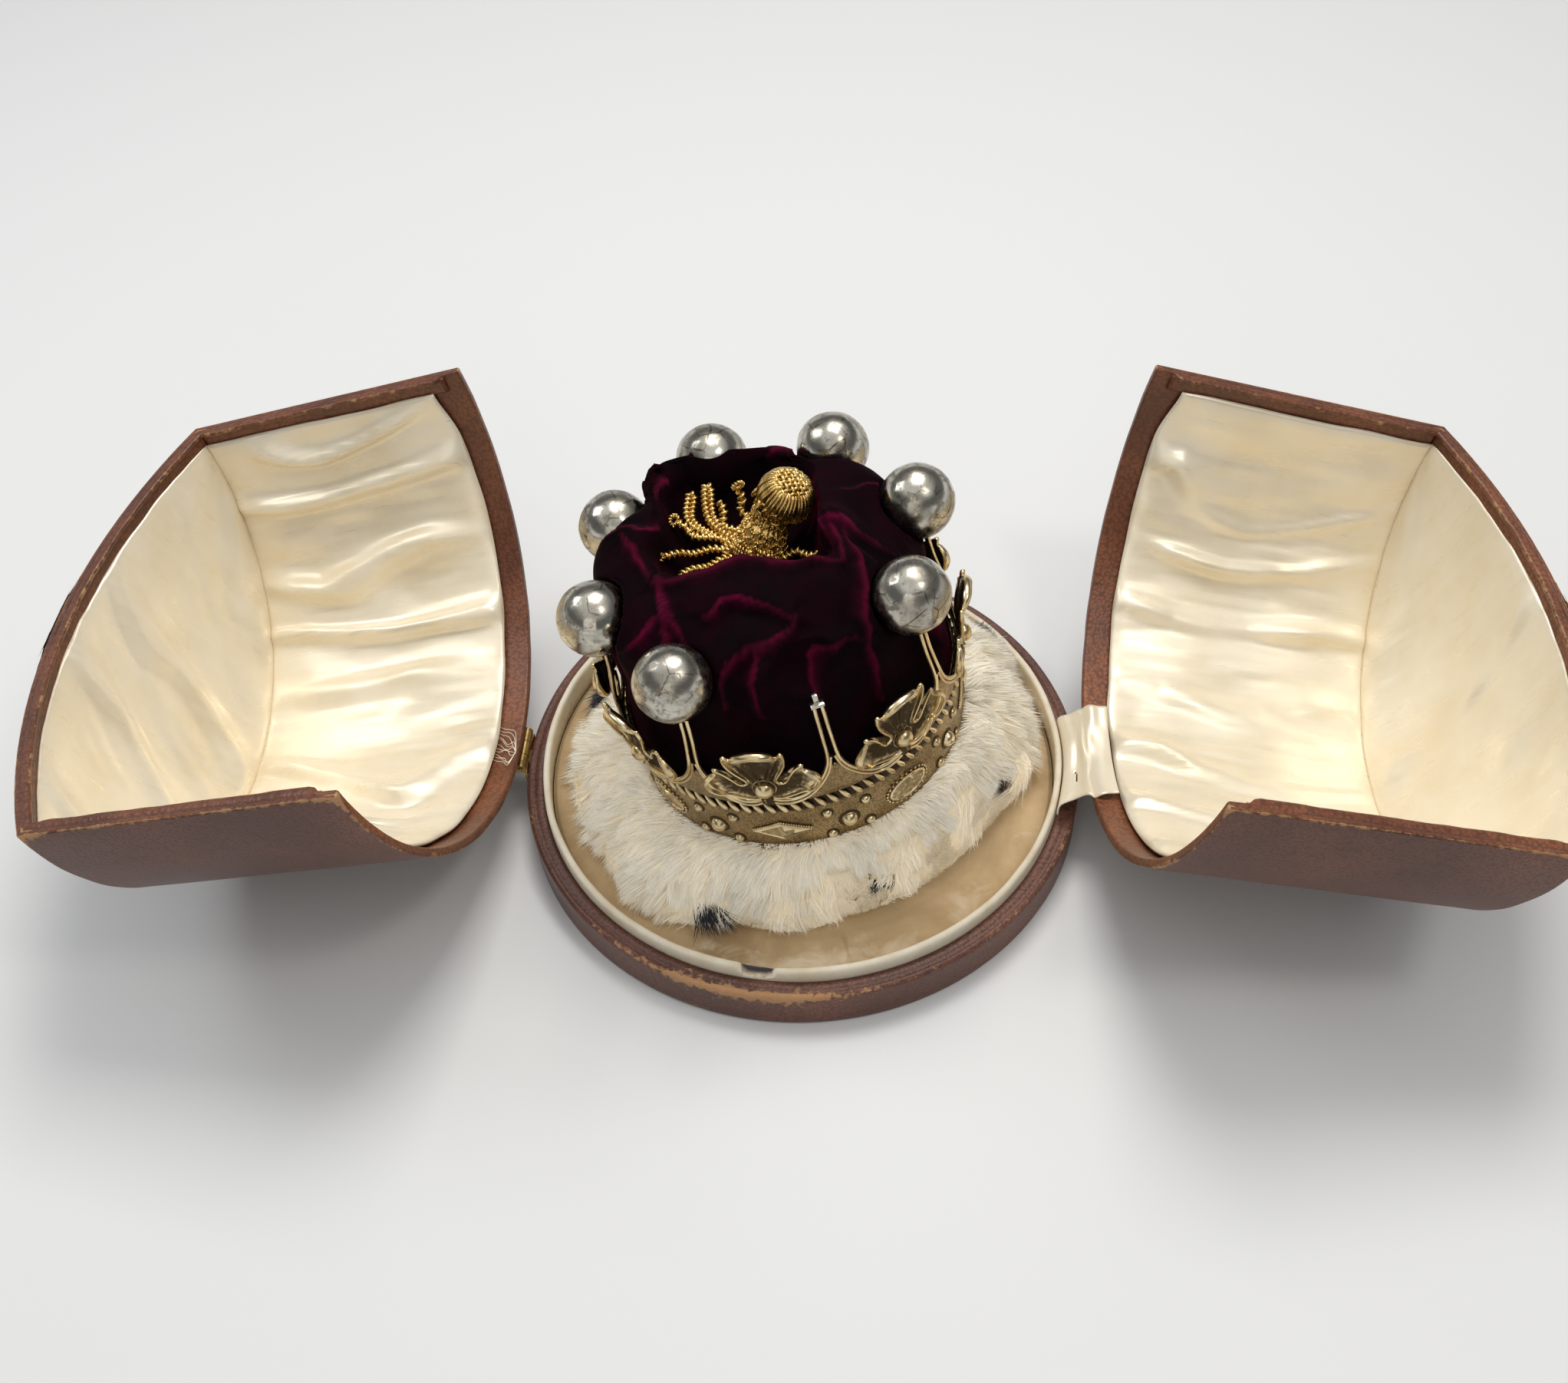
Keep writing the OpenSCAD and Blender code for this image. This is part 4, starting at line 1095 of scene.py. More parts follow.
def addBeads(beads, a, wide, tall, lozenge):
    # a beaded border: all round an oval, along the upper edges of a lozenge
    for i in range(jewels["beads"]):
        t = (i + 0.5) / jewels["beads"]
        if lozenge:
            x = (2 * t - 1) * wide
            z = tall * (1 - abs(x) / wide) + 0.5
        else:
            x, z = (wide + 0.9) * math.cos(t * math.tau), (tall + 0.9) * math.sin(t * math.tau)
        made = bmesh.ops.create_uvsphere(beads, u_segments=6, v_segments=4, radius=jewels["beadR"])["verts"]
        turn = a + math.degrees(x / coronet["bandR"])
        moved(beads, made, (0, -coronet["bandR"] - 0.45, jewels["z"] + z))
        turned(beads, made, turn)


# a stalk's wires; columns: degrees from the stalk, height, radius
stalkPath = ((1.3, 116.2, 60.8), (1.35, 110, 61.4), (1.4, 103, 62.1), (1.7, 92.5, 63.9), (3.1, 86.9, 64.1),
             (6, 81.8, 64.3), (10, 78.0, 64.6), (14.2, 76.5, 65.0), (18, 77.2, 65.6), (20.9, 79.4, 66.4))
stalk = {"inner": 0.62, "gap": 2.1, "pegW": 2.0, "pegH": 4.8, "plate": 0.9, "plateLow": 73.6}


def addStalks():
    outer, inner = [], []
    for a in stalkTurns:
        for s in (-1, 1):
            outer.append(curved([polar(a + s * d, r, z) for d, z, r in stalkPath], 6))
            low = [(max(0.55, d - 1.2 * smooth(78, 92, z)), z - stalk["gap"] * smooth(96, 82, z), r + 0.05)
                   for d, z, r in stalkPath[3:]]
            inner.append(curved([polar(a + s * d, r, z) for d, z, r in low], 6))
    wires("stalkWires", outer, coronet["wireR"], gilt, "root", onCoronet, fine=2, dark=0.0)
    wires("stalkFillets", inner, stalk["inner"], gilt, "root", onCoronet, dark=0.1)
    webs = bmesh.new()
    for a in stalkTurns:
        addWeb(webs, a)
    piece = makePiece(webs, "stalkWebs", matted, "root", onCoronet, fix=False, dark=0.3)
    thicken(piece, stalk["plate"], 0)
    addPegs()


def addWeb(webs, a):
    # plate under a stalk, from the rope up to the wires
    degrees = [0, 1.7] + [row[0] for row in stalkPath[4:]]
    tops = [88.0, 87.0] + [row[1] - 0.9 for row in stalkPath[4:]]

    def where(u, v):
        d = (2 * u - 1) * 22.5
        top = np.interp(np.abs(d), degrees, tops)
        z = stalk["plateLow"] + (top - stalk["plateLow"]) * v
        turn = np.radians(a + d)
        radius = coronet["wireRing"] - 0.1
        return np.stack([radius * np.sin(turn), -radius * np.cos(turn), z], -1)

    joinInto(webs, gridSheet(60, 6, where))


def addPegs():
    # a small plate over the two wires and a square peg on it, which a ball covers on all stalks but one
    pegs = bmesh.new()
    top = coronet["stalkTop"]
    parts = (((5.0, 2.8, 1.2), coronet["ballRing"] + 0.8, top - 0.4),
             ((stalk["pegW"], stalk["pegW"], stalk["pegH"]), coronet["ballRing"],
              top - 0.9 + stalk["pegH"] / 2))
    for a in stalkTurns:
        for size, ring, z in parts:
            made = bmesh.ops.create_cube(pegs, size=1)["verts"]
            bmesh.ops.scale(pegs, verts=made, vec=size)
            edges = list({e for v in made for e in v.link_edges})
            made = bmesh.ops.bevel(pegs, geom=edges, offset=0.3, segments=2, affect="EDGES",
                                   profile=0.5, material=-1)["verts"]
            turned(pegs, made, a)
            moved(pegs, made, polar(a, ring, z))
    makePiece(pegs, "pegs", silver, "root", onCoronet, fix=False)


# A leaf: a sheet drawn from the boss out to its rim, which two keyhole slits cut into three lobes;
# the rim rolls outwards, most at the lobes' ends
# columns, for the right half from the top down: across, up from the boss, size of the roll, hollow
leafRim = ((0, 24.0, 3.2, 1.3), (3.4, 23.5, 3.2, 1.3), (6.0, 21.9, 2.5, 1.0), (7.3, 19.4, 1.2, 0.2),
           (8.0, 19.6, 0.9, 0.1),
           (9.5, 21.3, 1.2, 0.5), (10.0, 18.2, 1.3, 0.7), (9.5, 14.8, 1.3, 0.6), (8.1, 11.2, 1.2, 0.5),
           (6.4, 8.0, 1.1, 0.4), (5.3, 5.5, 0.9, 0.2), (5.4, 3.7, 0.8, 0.1), (7.2, 2.8, 0.8, 0.1),
           (8.8, 3.9, 0.9, 0.2),
           (10.0, 6.6, 1.1, 0.4), (11.4, 9.2, 1.2, 0.6), (12.8, 11.2, 1.2, 0.6), (14.9, 12.6, 1.1, 0.4),
           (14.9, 9.9, 1.0, 0.1), (16.2, 9.0, 2.0, 0.7), (18.5, 6.6, 3.0, 1.3), (19.5, 3.2, 3.2, 1.3),
           (18.5, -0.5, 2.6, 1.1), (15.8, -3.2, 1.4, 0.7), (13.2, -3.3, 0.9, 0.6), (9.0, -4.9, 0.7, 0.5),
           (5.0, -6.0, 0.5, 0.2),
           (2.2, -5.6, 0.3, 0.0))
leaf = {"columns": 180, "rows": 12, "thick": 0.65, "lean": 0.09, "bead": 0.42, "bossR": 3.5, "vein": 0.13,
        "out": 1.2,
        "rollFrom": 0.74, "rollTurn": 165.0, "rimSteps": 300}


def leafOutline(count):
    # the whole rim as even steps along a smooth line: across, up, roll, hollow
    half = [Vector(row) for row in leafRim]
    other = [Vector((-x, z, roll, dish)) for x, z, roll, dish in reversed(leafRim[1:])]
    line = np.array([list(p) for p in curved(other + half, 8)])
    far = np.concatenate([[0], np.cumsum(np.linalg.norm(np.diff(line[:, :2], axis=0), axis=1))])
    even = np.linspace(0, far[-1], count + 1)
    return np.stack([np.interp(even, far, line[:, c]) for c in range(4)], -1)


def leafShape(a, rimAt, share):
    x, z, roll, dish = rimAt.T
    angle = np.arctan2(x, z)
    start = np.stack([np.sin(angle), np.cos(angle)], -1) * 1.2
    way = np.stack([x, z], -1) - start
    reach = np.linalg.norm(way, axis=1)
    way /= reach[:, None]
    curl = np.minimum(roll / 2, reach * 0.4)
    flat = np.clip(share / leaf["rollFrom"], 0, 1)
    turn = np.radians(np.clip((share - leaf["rollFrom"]) / (1 - leaf["rollFrom"]), 0, 1) * leaf["rollTurn"])
    at = start + way * ((reach - curl) * flat + curl * np.sin(turn))[:, None]
    ribs = leaf["vein"] * np.sin(angle * 36) * ease(0.15, 0.3, flat) * ease(1.0, 0.7, flat)
    out = curl * (1 - np.cos(turn)) - 1.5 * dish * np.sin(flat * math.pi) ** 0.9 + ribs
    rest = coronet["leafR"] + leaf["out"] + np.clip((reach - 8) / 14, 0, 1) * 0.9 * flat
    radius = rest + out + np.maximum(0, at[:, 1]) * leaf["lean"]
    azimuth = np.radians(a) + at[:, 0] / coronet["leafR"]
    return np.stack([radius * np.sin(azimuth), -radius * np.cos(azimuth), coronet["bossZ"] + at[:, 1]], -1)


def addLeaves():
    whole, dark, rims, feet = bmesh.new(), [], [], bmesh.new()
    outline, fine = leafOutline(leaf["columns"]), leafOutline(leaf["rimSteps"])
    for k, a in enumerate(leafTurns):
        swell = 1 + 0.03 * wave(k * 3.1, 0.7)
        bm = gridSheet(leaf["columns"], leaf["rows"], lambda u, v: leafShape(
            a, outline[np.rint(u * leaf["columns"]).astype(int)] * (swell, swell, 1, 1),
            np.interp(v, (0, 0.5, 1), (0, leaf["rollFrom"], 1))))
        layer = bm.loops.layers.uv.active
        for v in bm.verts:
            share = min(1.2, v.link_loops[0][layer].uv.y * 2)
            # tarnish and painted shade in each leaf's hollow and by its boss; the rolled rim stays bright
            shade = 0.85 * smooth(0.08, 0.25, share) * smooth(1.02, 0.72, share)
            dark.append(shade + 0.35 * smooth(0.3, 0.1, share))
        joinInto(whole, bm)
        rims.append([Vector(p) for p in leafShape(a, fine * (swell, swell, 1, 1), np.ones(len(fine)))])
        addFoot(feet, a)
    piece = makePiece(whole, "leaves", gilt, "root", onCoronet, fix=False, dark=dark)
    thicken(piece, leaf["thick"], 0)
    wires("leafRims", rims, leaf["bead"], gilt, "root", onCoronet, dark=0.0)
    # painted shade with tarnish round each boss's foot
    dark = [0.9 * smooth(2.2, 1.2, ringPlace(v.co)[0] - coronet["leafR"]) for v in feet.verts]
    makePiece(feet, "bosses", gilt, "root", onCoronet, fix=False, dark=dark)


def addFoot(feet, a):
    # the boss in its ring, and the stem behind it down to the plate
    r = leaf["bossR"]
    one = spun([(0, r * 0.92), (r * 0.38, r * 0.85), (r * 0.7, r * 0.66), (r * 0.92, r * 0.36), (r, 0.0),
                (r * 0.9, -0.5),
                (r * 1.05, -0.5), (r * 1.22, -0.2), (r * 1.3, -0.6), (r * 1.3, -1.6)], 28)
    setOnRing(one, coronet["leafR"] + leaf["out"] + 0.6, coronet["bossZ"], a)
    joinInto(feet, one)
    made = bmesh.ops.create_cube(feet, size=1)["verts"]
    tall = coronet["bossZ"] - stalk["plateLow"]
    bmesh.ops.scale(feet, verts=made, vec=(3.0, 1.2, tall))
    moved(feet, made, (0, -coronet["wireRing"] - 0.4, stalk["plateLow"] + tall / 2))
    turned(feet, made, a)


# Balls, each drilled for its peg and a little dented

balls = {"stalks": (0, 2, 3, 4, 5, 6, 7), "dent": 0.16, "hole": 1.8, "rows": 40, "steps": 72}


def addBalls():
    r = coronet["ballR"]
    start = math.asin(balls["hole"] / r)
    profile = [(balls["hole"], -r + 4), (balls["hole"], -r * math.cos(start) + 0.4)]
    for j in range(balls["rows"] + 1):
        t = start * 1.1 + (math.pi - start * 1.1) * j / balls["rows"]
        profile.append((r * math.sin(t), -r * math.cos(t)))
    for i, k in enumerate(balls["stalks"]):
        bm = spun(profile, balls["steps"])
        for v in bm.verts:
            n = v.co.normalized()
            flaw = wave(n.x * 1.6 + k * 5, n.y * 1.6, n.z * 1.6) + 0.5 * wave(n.x * 4 + k, n.y * 4, n.z * 4)
            v.co += n * (flaw * balls["dent"] + 0.15)
        moved(bm, bm.verts, polar(stalkTurns[k], coronet["ballRing"], coronet["ballZ"]))
        piece = makePiece(bm, f"silverBall{i + 1}", silver, "root", onCoronet, fix=False)
        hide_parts(f"ball_{i + 1}")


# Velvet cap: rows from the hidden lower edge up over the shoulder and down into the well
# columns: height, radius of the wall, share of the way to the well's rim, share from there to its middle

capRows = ((41, 61, 0, 0), (74, 60.9, 0, 0), (92, 59.3, 0, 0), (104, 58.6, 0, 0), (113, 58.6, 0.03, 0),
           (121, 58.9, 0.1, 0), (128, 58.8, 0.2, 0), (134, 58.4, 0.37, 0), (138.5, 58, 0.57, 0),
           (141.2, 58, 0.8, 0),
           (142.3, 58, 1, 0), (138, 58, 1, 0.08), (130, 58, 1, 0.16), (121.5, 58, 1, 0.32),
           (115, 58, 1, 0.62),
           (113.5, 58, 1, 1))
# the well's rim round the well's middle; columns: azimuth, radius
wellRim = ((-180, 33), (-153, 38), (-141, 42), (-132, 45), (-121, 43), (-103, 36), (-81, 34), (-60, 38),
           (-45, 40),
           (-36, 35), (-16, 26), (2, 24), (25, 28), (42, 38), (51, 43), (58, 39), (66, 31), (78, 28),
           (99, 26),
           (120, 28), (132, 31), (154, 34), (180, 33))
# how far the shoulder falls in between the lobes; columns: azimuth, depth
lobeFall = ((-180, 6), (-165, 5), (-150, 1), (-138, 0), (-128, 5), (-118, 15), (-110, 6), (-102, -3.5),
            (-88, -3.5), (-74, -1.5), (-60, -0.5), (100, 0), (122, 0), (136, 3), (147, 17), (157, 9),
            (168, 6), (180, 6))
# folds pinched up in the velvet: height, the steep side seen along the line, then azimuth, radius and height
capFolds = {
    "corner": (2.4, 1, (-61, 36, 142), (-52, 38, 142), (-42, 43, 141), (-36, 50, 138), (-34, 58, 127)),
    "cornerSpread": (1.8, -1, (-59, 35, 142), (-47, 38, 142), (-37, 42, 141), (-27, 48, 140), (-22, 56, 133)),
    "leftPinch": (1.6, -1, (-52, 58, 128), (-45, 52, 137), (-44, 48, 140), (-42, 43, 141)),
    "lip": (1.5, -1, (-61, 37, 141), (-57, 33, 142), (-50, 24, 142), (-24, 15, 142), (5, 14, 142),
            (30, 18, 142),
            (55, 29, 142), (62, 38, 142)),
    "frontHigh": (2.6, -1, (-22, 38, 142), (-18, 34, 142), (-15, 31, 142), (-7, 29, 142), (3, 31, 142),
                  (12, 35, 142),
                  (22, 43, 142)),
    "frontTurn": (3.0, 1, (22, 43, 142), (18, 45, 141), (12, 47, 141), (2, 48, 140), (-4, 50, 139),
                  (-8, 53, 136),
                  (-10, 57, 131), (-10, 59, 118)),
    "frontDrop": (3.2, -1, (11, 49, 140), (5, 51, 138), (3, 54, 135), (1, 58, 128), (2, 59, 114)),
    "rightRim": (3.0, -1, (59, 30, 141), (78, 25, 142), (92, 26, 142), (93, 30, 142), (87, 35, 142),
                 (83, 40, 142),
                 (83, 47, 141), (82, 55, 137)),
    "rightInner": (2.4, -1, (91, 28, 142), (80, 31, 142), (70, 34, 142), (62, 38, 141)),
    "rightSlope": (2.4, -1, (88, 33, 142), (77, 36, 142), (68, 42, 142), (62, 46, 141), (54, 52, 138),
                   (47, 56, 133),
                   (44, 59, 120), (42, 59, 100)),
    "rightHook": (2.2, -1, (20, 59, 112), (23, 58, 124), (27, 57, 130), (33, 57, 132), (40, 56, 131),
                  (44, 58, 127)),
    "leftLobe": (2.4, 1, (-97, 56, 134), (-100, 50, 139), (-101, 44, 141), (-99, 39, 142), (-104, 34, 142),
                 (-112, 31, 142)),
    "leftDip": (1.6, -1, (-98, 46, 141), (-92, 43, 142), (-76, 38, 142), (-64, 37, 142)),
    "leftSide": (2.2, 1, (-78, 52, 138), (-74, 58, 130), (-70, 59, 114), (-72, 59, 96)),
    "backLeft": (2.4, 1, (-133, 44, 141), (-136, 51, 138), (-140, 57, 130), (-144, 58.5, 106)),
    "back": (1.5, -1, (178, 42, 141), (172, 49, 138), (168, 57, 128), (172, 58.5, 104)),
    "backRight": (2.4, 1, (118, 38, 142), (116, 48, 140), (112, 57, 131), (116, 58.5, 106)),
    "rightSide": (2.0, -1, (86, 58, 128), (80, 59, 116), (78, 59, 100), (82, 59.5, 90)),
}
# how square the shoulder is; columns: azimuth, power
shoulderFull = ((-180, 1), (-125, 1), (-104, 1.9), (-70, 1.9), (-45, 1.3), (-20, 1), (100, 1.1),
                (120, 2.0), (135, 1.8),
                (148, 1), (180, 1))
# steepW and softW: widths of a fold's two sides; lineW and glowW: widths of the painted sheen along a crest
# and of its glow on the steep side; press: room between a ball and the velvet
cap = {"well": (-3.0, 12.0), "velvet": 1.6, "columns": 288, "rows": 108, "press": 1.4, "steepW": 2.0,
       "softW": 6.5, "lineW": 0.95, "glowW": 4.0}


def pressedIn(flat, z):
    # each ball, and the place of the lost one, presses its own shape into the velvet
    r, a = np.hypot(flat[:, 0], flat[:, 1]), np.degrees(np.arctan2(flat[:, 0], -flat[:, 1]))
    off = np.radians((a - coronet["turn"] + step / 2) % step - step / 2)
    ring = coronet["ballRing"]
    room = (coronet["ballR"] + cap["press"]) ** 2 - (z - coronet["ballZ"]) ** 2 - (ring * np.sin(off)) ** 2
    most = np.where(room > 0, ring * np.cos(off) - np.sqrt(np.maximum(room, 0)), 1e3)
    return flat * np.minimum(1, most / np.maximum(r, 1))[:, None]


def aroundTable(table, degrees):
    # a table read round the circle, its corners softened
    places, values = np.array(table, float).T
    shifts = (-5, -2.5, 0, 2.5, 5)
    return np.mean([np.interp(degrees + shift, places, values, period=360) for shift in shifts], 0)



def capBody(u, v):
    a = u * math.tau
    rows = np.array(capRows, float)
    k = v * (len(rows) - 1)
    i = np.minimum(k.astype(int), len(rows) - 2)
    t = (k - i)[:, None]
    p, q, r, s = (rows[np.clip(i + j, 0, len(rows) - 1)] for j in (-1, 0, 1, 2))
    row = through(p, q, r, s, t)
    z, wall, over, down = row.T
    over, down = np.clip(over, 0, 1), np.clip(down, 0, 1)
    over = over ** aroundTable(shoulderFull, np.degrees(a))
    out = np.stack([np.sin(a), -np.cos(a)], -1)
    well = np.array(cap["well"])
    rimR = aroundTable(wellRim, np.degrees(a)) + 0.8 * waves(3 * np.cos(a), 3 * np.sin(a), 5)
    fall = aroundTable(lobeFall, np.degrees(a)) * np.clip((z - 114) / 26, 0, 1) ** 1.8
    side = out * (wall - fall)[:, None] * (1 - over[:, None]) + (well + out * rimR[:, None]) * over[:, None]
    flat = side * (1 - down[:, None]) + well * down[:, None]
    loose = ease(84, 112, z) * (1 - 0.6 * down)
    x, y = flat.T
    bulge = 1.5 * waves(x / 19, y / 19, z / 34) + 0.5 * waves(x / 8, y / 8, z / 15)
    flat = flat + out * (bulge * loose)[:, None]
    rise = ease(0.1, 1, over) * (1 - down)
    x, y = flat.T
    z = z + rise * (1.3 * waves(x / 15, y / 15, 9) + bulge * 0.3)
    z = z - rise * (3.4 * ease(10, 44, y) + 1.6 * ease(12, -20, x) * ease(-5, -14, y))
    return np.stack([x, y, z], -1), down


def besideLine(points, normals, line):
    # distance to a line of points, over the side where it is positive, and how far along it, 0 to 1
    far, along = toLine(points, line)
    k = np.clip(along * (len(line) - 1), 0, len(line) - 1.001)
    i = k.astype(int)
    way = line[i + 1] - line[i]
    off = points - (line[i] + (k - i)[:, None] * way)
    side = np.einsum("ij,ij->i", np.cross(way, off), normals)
    return far * np.where(side < 0, -1, 1), along


def addCap():
    crest = []

    def where(u, v):
        body, down = capBody(u, v)
        near = capBody(u, np.minimum(v + 0.004, 1))[0] - capBody(u, np.maximum(v - 0.004, 0))[0]
        beside = np.stack([np.cos(u * math.tau), np.sin(u * math.tau), np.zeros(len(u))], -1)
        normal = np.cross(beside, near)
        normal /= np.maximum(np.linalg.norm(normal, axis=1, keepdims=True), 1e-6)
        lifted, sheenMark = np.zeros(len(u)), np.zeros(len(u))
        for height, steep, *line in capFolds.values():
            rough = np.array(curved([polar(*p) for p in line], 4))
            nearest = [np.argmin(np.linalg.norm(body - p, axis=1)) for p in rough]
            path = body[[n for j, n in enumerate(nearest) if j == 0 or n != nearest[j - 1]]]
            far, along = besideLine(body, normal, path)
            far = far * steep + 0.5 * waves(body[:, 0] / 5, body[:, 1] / 5, body[:, 2] / 5)
            hold = 0.3 + 0.7 * np.sin(np.clip(along, 0.04, 0.96) * math.pi) ** 0.7
            peak = np.where(far > 0, np.exp(-(far / cap["steepW"]) ** 2), np.exp(-(far / cap["softW"]) ** 2))
            lifted += height * hold * (peak - 0.5 * np.exp(-((far - 4.8) / 2.6) ** 2))
            # painted sheen: a thin bright line along each fold's crest and a glow on its steep side, for the
            # velvet's lighter crimson
            thin = np.exp(-((far - 0.3) / cap["lineW"]) ** 2)
            glow = np.where(far > 0, np.exp(-((far - 1.2) / cap["glowW"]) ** 2), 0)
            sheenMark = np.maximum(sheenMark, hold * (0.7 * thin + 0.26 * glow))
        crest.extend(np.clip(sheenMark, 0, 1) * (down < 0.5))
        body = body + normal * (lifted * ease(86, 98, body[:, 2]) * (1 - ease(0.3, 0.7, down)))[:, None]
        body[:, :2] = pressedIn(body[:, :2], body[:, 2])
        return body

    bm = gridSheet(cap["columns"], cap["rows"], where)
    markCorners(bm, "crest", crest)
    piece = makePiece(bm, "velvetCap", velvet, "root", onCoronet)
    thicken(piece, cap["velvet"], -1)
    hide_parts("cap")


# Tassel of gold wire, lying in the well

tassel = {"foot": Vector((-2, 12, 122.5)), "neck": Vector((5, 18, 134.5)), "head": Vector((12, 17.7, 142)),
          "headWay": Vector((0.5, -0.1, 0.86)), "wire": 0.66, "purl": 1.3, "pitch": 2.1, "ringR": 1.8,
          "ringPurl": 0.65, "bodyRings": 22, "headLoops": 40, "headRings": 11, "netAround": 11, "netRows": 5,
          "crownR": 6.4, "stitch": 1.7}
# legs: the kind of end, then the tip, the bend and the root
tasselLegs = (
    ("ring", (-33.5, 3.5, 132.5), (-24, 8.5, 128.5), (-10, 11, 124)),
    ("ring", (-29.5, 19.5, 133.5), (-24, 16.5, 129.5), (-9, 14, 124)),
    ("loop", (-25, 30, 135), (-25, 22, 130), (-10, 15, 124)),
    ("loop", (-18.5, 31, 137), (-17.5, 22, 130.5), (-8, 15, 125)),
    ("point", (-14, 27, 135), (-13, 20, 129), (-5, 16, 126)),
    ("ring", (-6.5, 28, 138), (-6.5, 25, 131.5), (-4, 18, 126)),
    ("point", (-28, -4, 129.5), (-19, 3, 126.5), (-7, 8.5, 123)),
    ("ring", (20, 3.5, 125.5), (13, 7, 124.5), (4, 10, 122)),
    ("point", (14, 26, 127), (9, 22, 125), (2, 16, 122)),
)


def ringAt(middle, normal, radius, count=14):
    side = normal.orthogonal().normalized()
    up = normal.normalized().cross(side)
    return [middle + (side * math.cos(i * math.tau / count) + up * math.sin(i * math.tau / count)) * radius
            for i in range(count + 1)]


def legLines(kind, tip, bend, root):
    tip, bend, root = Vector(tip), Vector(bend), Vector(root)
    side = (tip - bend).cross(Vector((0.1, -0.7, 0.7))).normalized()
    if kind == "loop":
        return [curved([root + side * 0.9, bend + side * 1.0, tip + side * 1.15,
                        tip + (tip - bend).normalized() * 1.6,
                        tip - side * 1.15, bend - side * 1.0, root - side * 0.9], 8)]
    return [curved([root, (root + bend) / 2 + side * 1.2, bend - side * 0.6, (bend + tip) / 2 + side * 0.5,
                    tip], 8)]


def addTassel():
    foot, neck, head = tassel["foot"], tassel["neck"], tassel["head"]
    purls, rings, cores = [], [], []
    for kind, tip, bend, root in tasselLegs:
        for line in legLines(kind, tip, bend, root):
            cores.append(line)
            slim, close = (0.75, 0.8) if kind == "loop" else (1, 1)
            purls.append(coiled(line, tassel["purl"] * slim, tassel["pitch"] * close, 9))
        if kind == "ring":
            way = (Vector(tip) - Vector(bend)).normalized()
            middle = Vector(tip) + way * tassel["ringR"]
            rings.append(coiled(ringAt(middle, way.cross(Vector((0.9, 0.2, 0.1))) + Vector((0, -0.5, 0.5)),
                                       tassel["ringR"], 20), tassel["ringPurl"], 1.0, 7))
    for i in range(tassel["bodyRings"]):
        way = polar(-190 + i * 17, 1, 0)
        out = 7.2 + 2.0 * wave(i, 0.4)
        middle = foot + way * out + Vector((0, 0, 1.6 + 3.2 * wave(i, 2.3)))
        facing = Vector((way.y + 0.5 * math.sin(i * 2.1), -way.x, 0.5 * math.sin(i * 1.7)))
        ring = ringAt(middle, facing, 2.6 + 0.6 * math.sin(i * 3), 22)
        purls.append(coiled(ring, 0.9, 1.6, 8))
    piece = wires("tasselPurls", purls, tassel["wire"], bullion, "root", onCoronet)
    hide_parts("tassel")
    wires("tasselRings", rings, 0.34, bullion, "root", onCoronet)
    wires("tasselCores", cores, tassel["purl"] * 0.68, bullion, "root", onCoronet)
    addTasselBody(foot, neck)
    addTasselHead(head)


def alongBody(foot, neck, t, turn, extra=0.0):
    axis = neck - foot
    side = axis.orthogonal().normalized()
    up = axis.normalized().cross(side)
    r = between(((0, 7.4), (0.25, 8.6), (0.55, 8.0), (0.8, 6.3), (1, 5.2)), t) + extra
    return foot + axis * t + (side * math.cos(turn) + up * math.sin(turn)) * r


def addTasselBody(foot, neck):
    def where(u, v):
        return [alongBody(foot, neck, t, turn * math.tau, 0.25 * math.cos(turn * math.tau * 22))
                for turn, t in zip(u, v)]

    bm = gridSheet(110, 18, where, round=True)
    makePiece(bm, "tasselCore", bullion, "root", onCoronet)
    net, count, rows = [], tassel["netAround"], tassel["netRows"]
    for j in range(rows + 1):
        t0 = 0.05 + 0.9 * j / rows
        path = []
        for i in range(count * 2 + 1):
            lift = 0.045 if i % 2 == 0 else -0.045
            path.append(alongBody(foot, neck, min(1, max(0, t0 + lift)), (i + j % 2) * math.pi / count, 0.6))
        net.append(coiled(path, 0.36, 1.1, 6))
        if j < rows:
            t1 = 0.05 + 0.9 * (j + 1) / rows
            for i in range(count):
                turn = (2 * i + j % 2) * math.pi / count
                ends = [alongBody(foot, neck, t, turn, 0.6) for t in (t0 + 0.045, t1 - 0.045)]
                net.append(coiled(ends, 0.36, 1.1, 6))
    wires("tasselNet", net, 0.34, bullion, "root", onCoronet)
    collars = []
    for t, extra in ((-0.1, 0.9), (0.0, 1.3), (0.1, 0.9), (1.0, 0.8), (0.92, 0.5)):
        loop = [alongBody(foot, neck, t, i * math.tau / 40, extra) for i in range(41)]
        collars.append(coiled(loop, 0.75, 1.4, 8))
    wires("tasselCollars", collars, 0.46, bullion, "root", onCoronet)


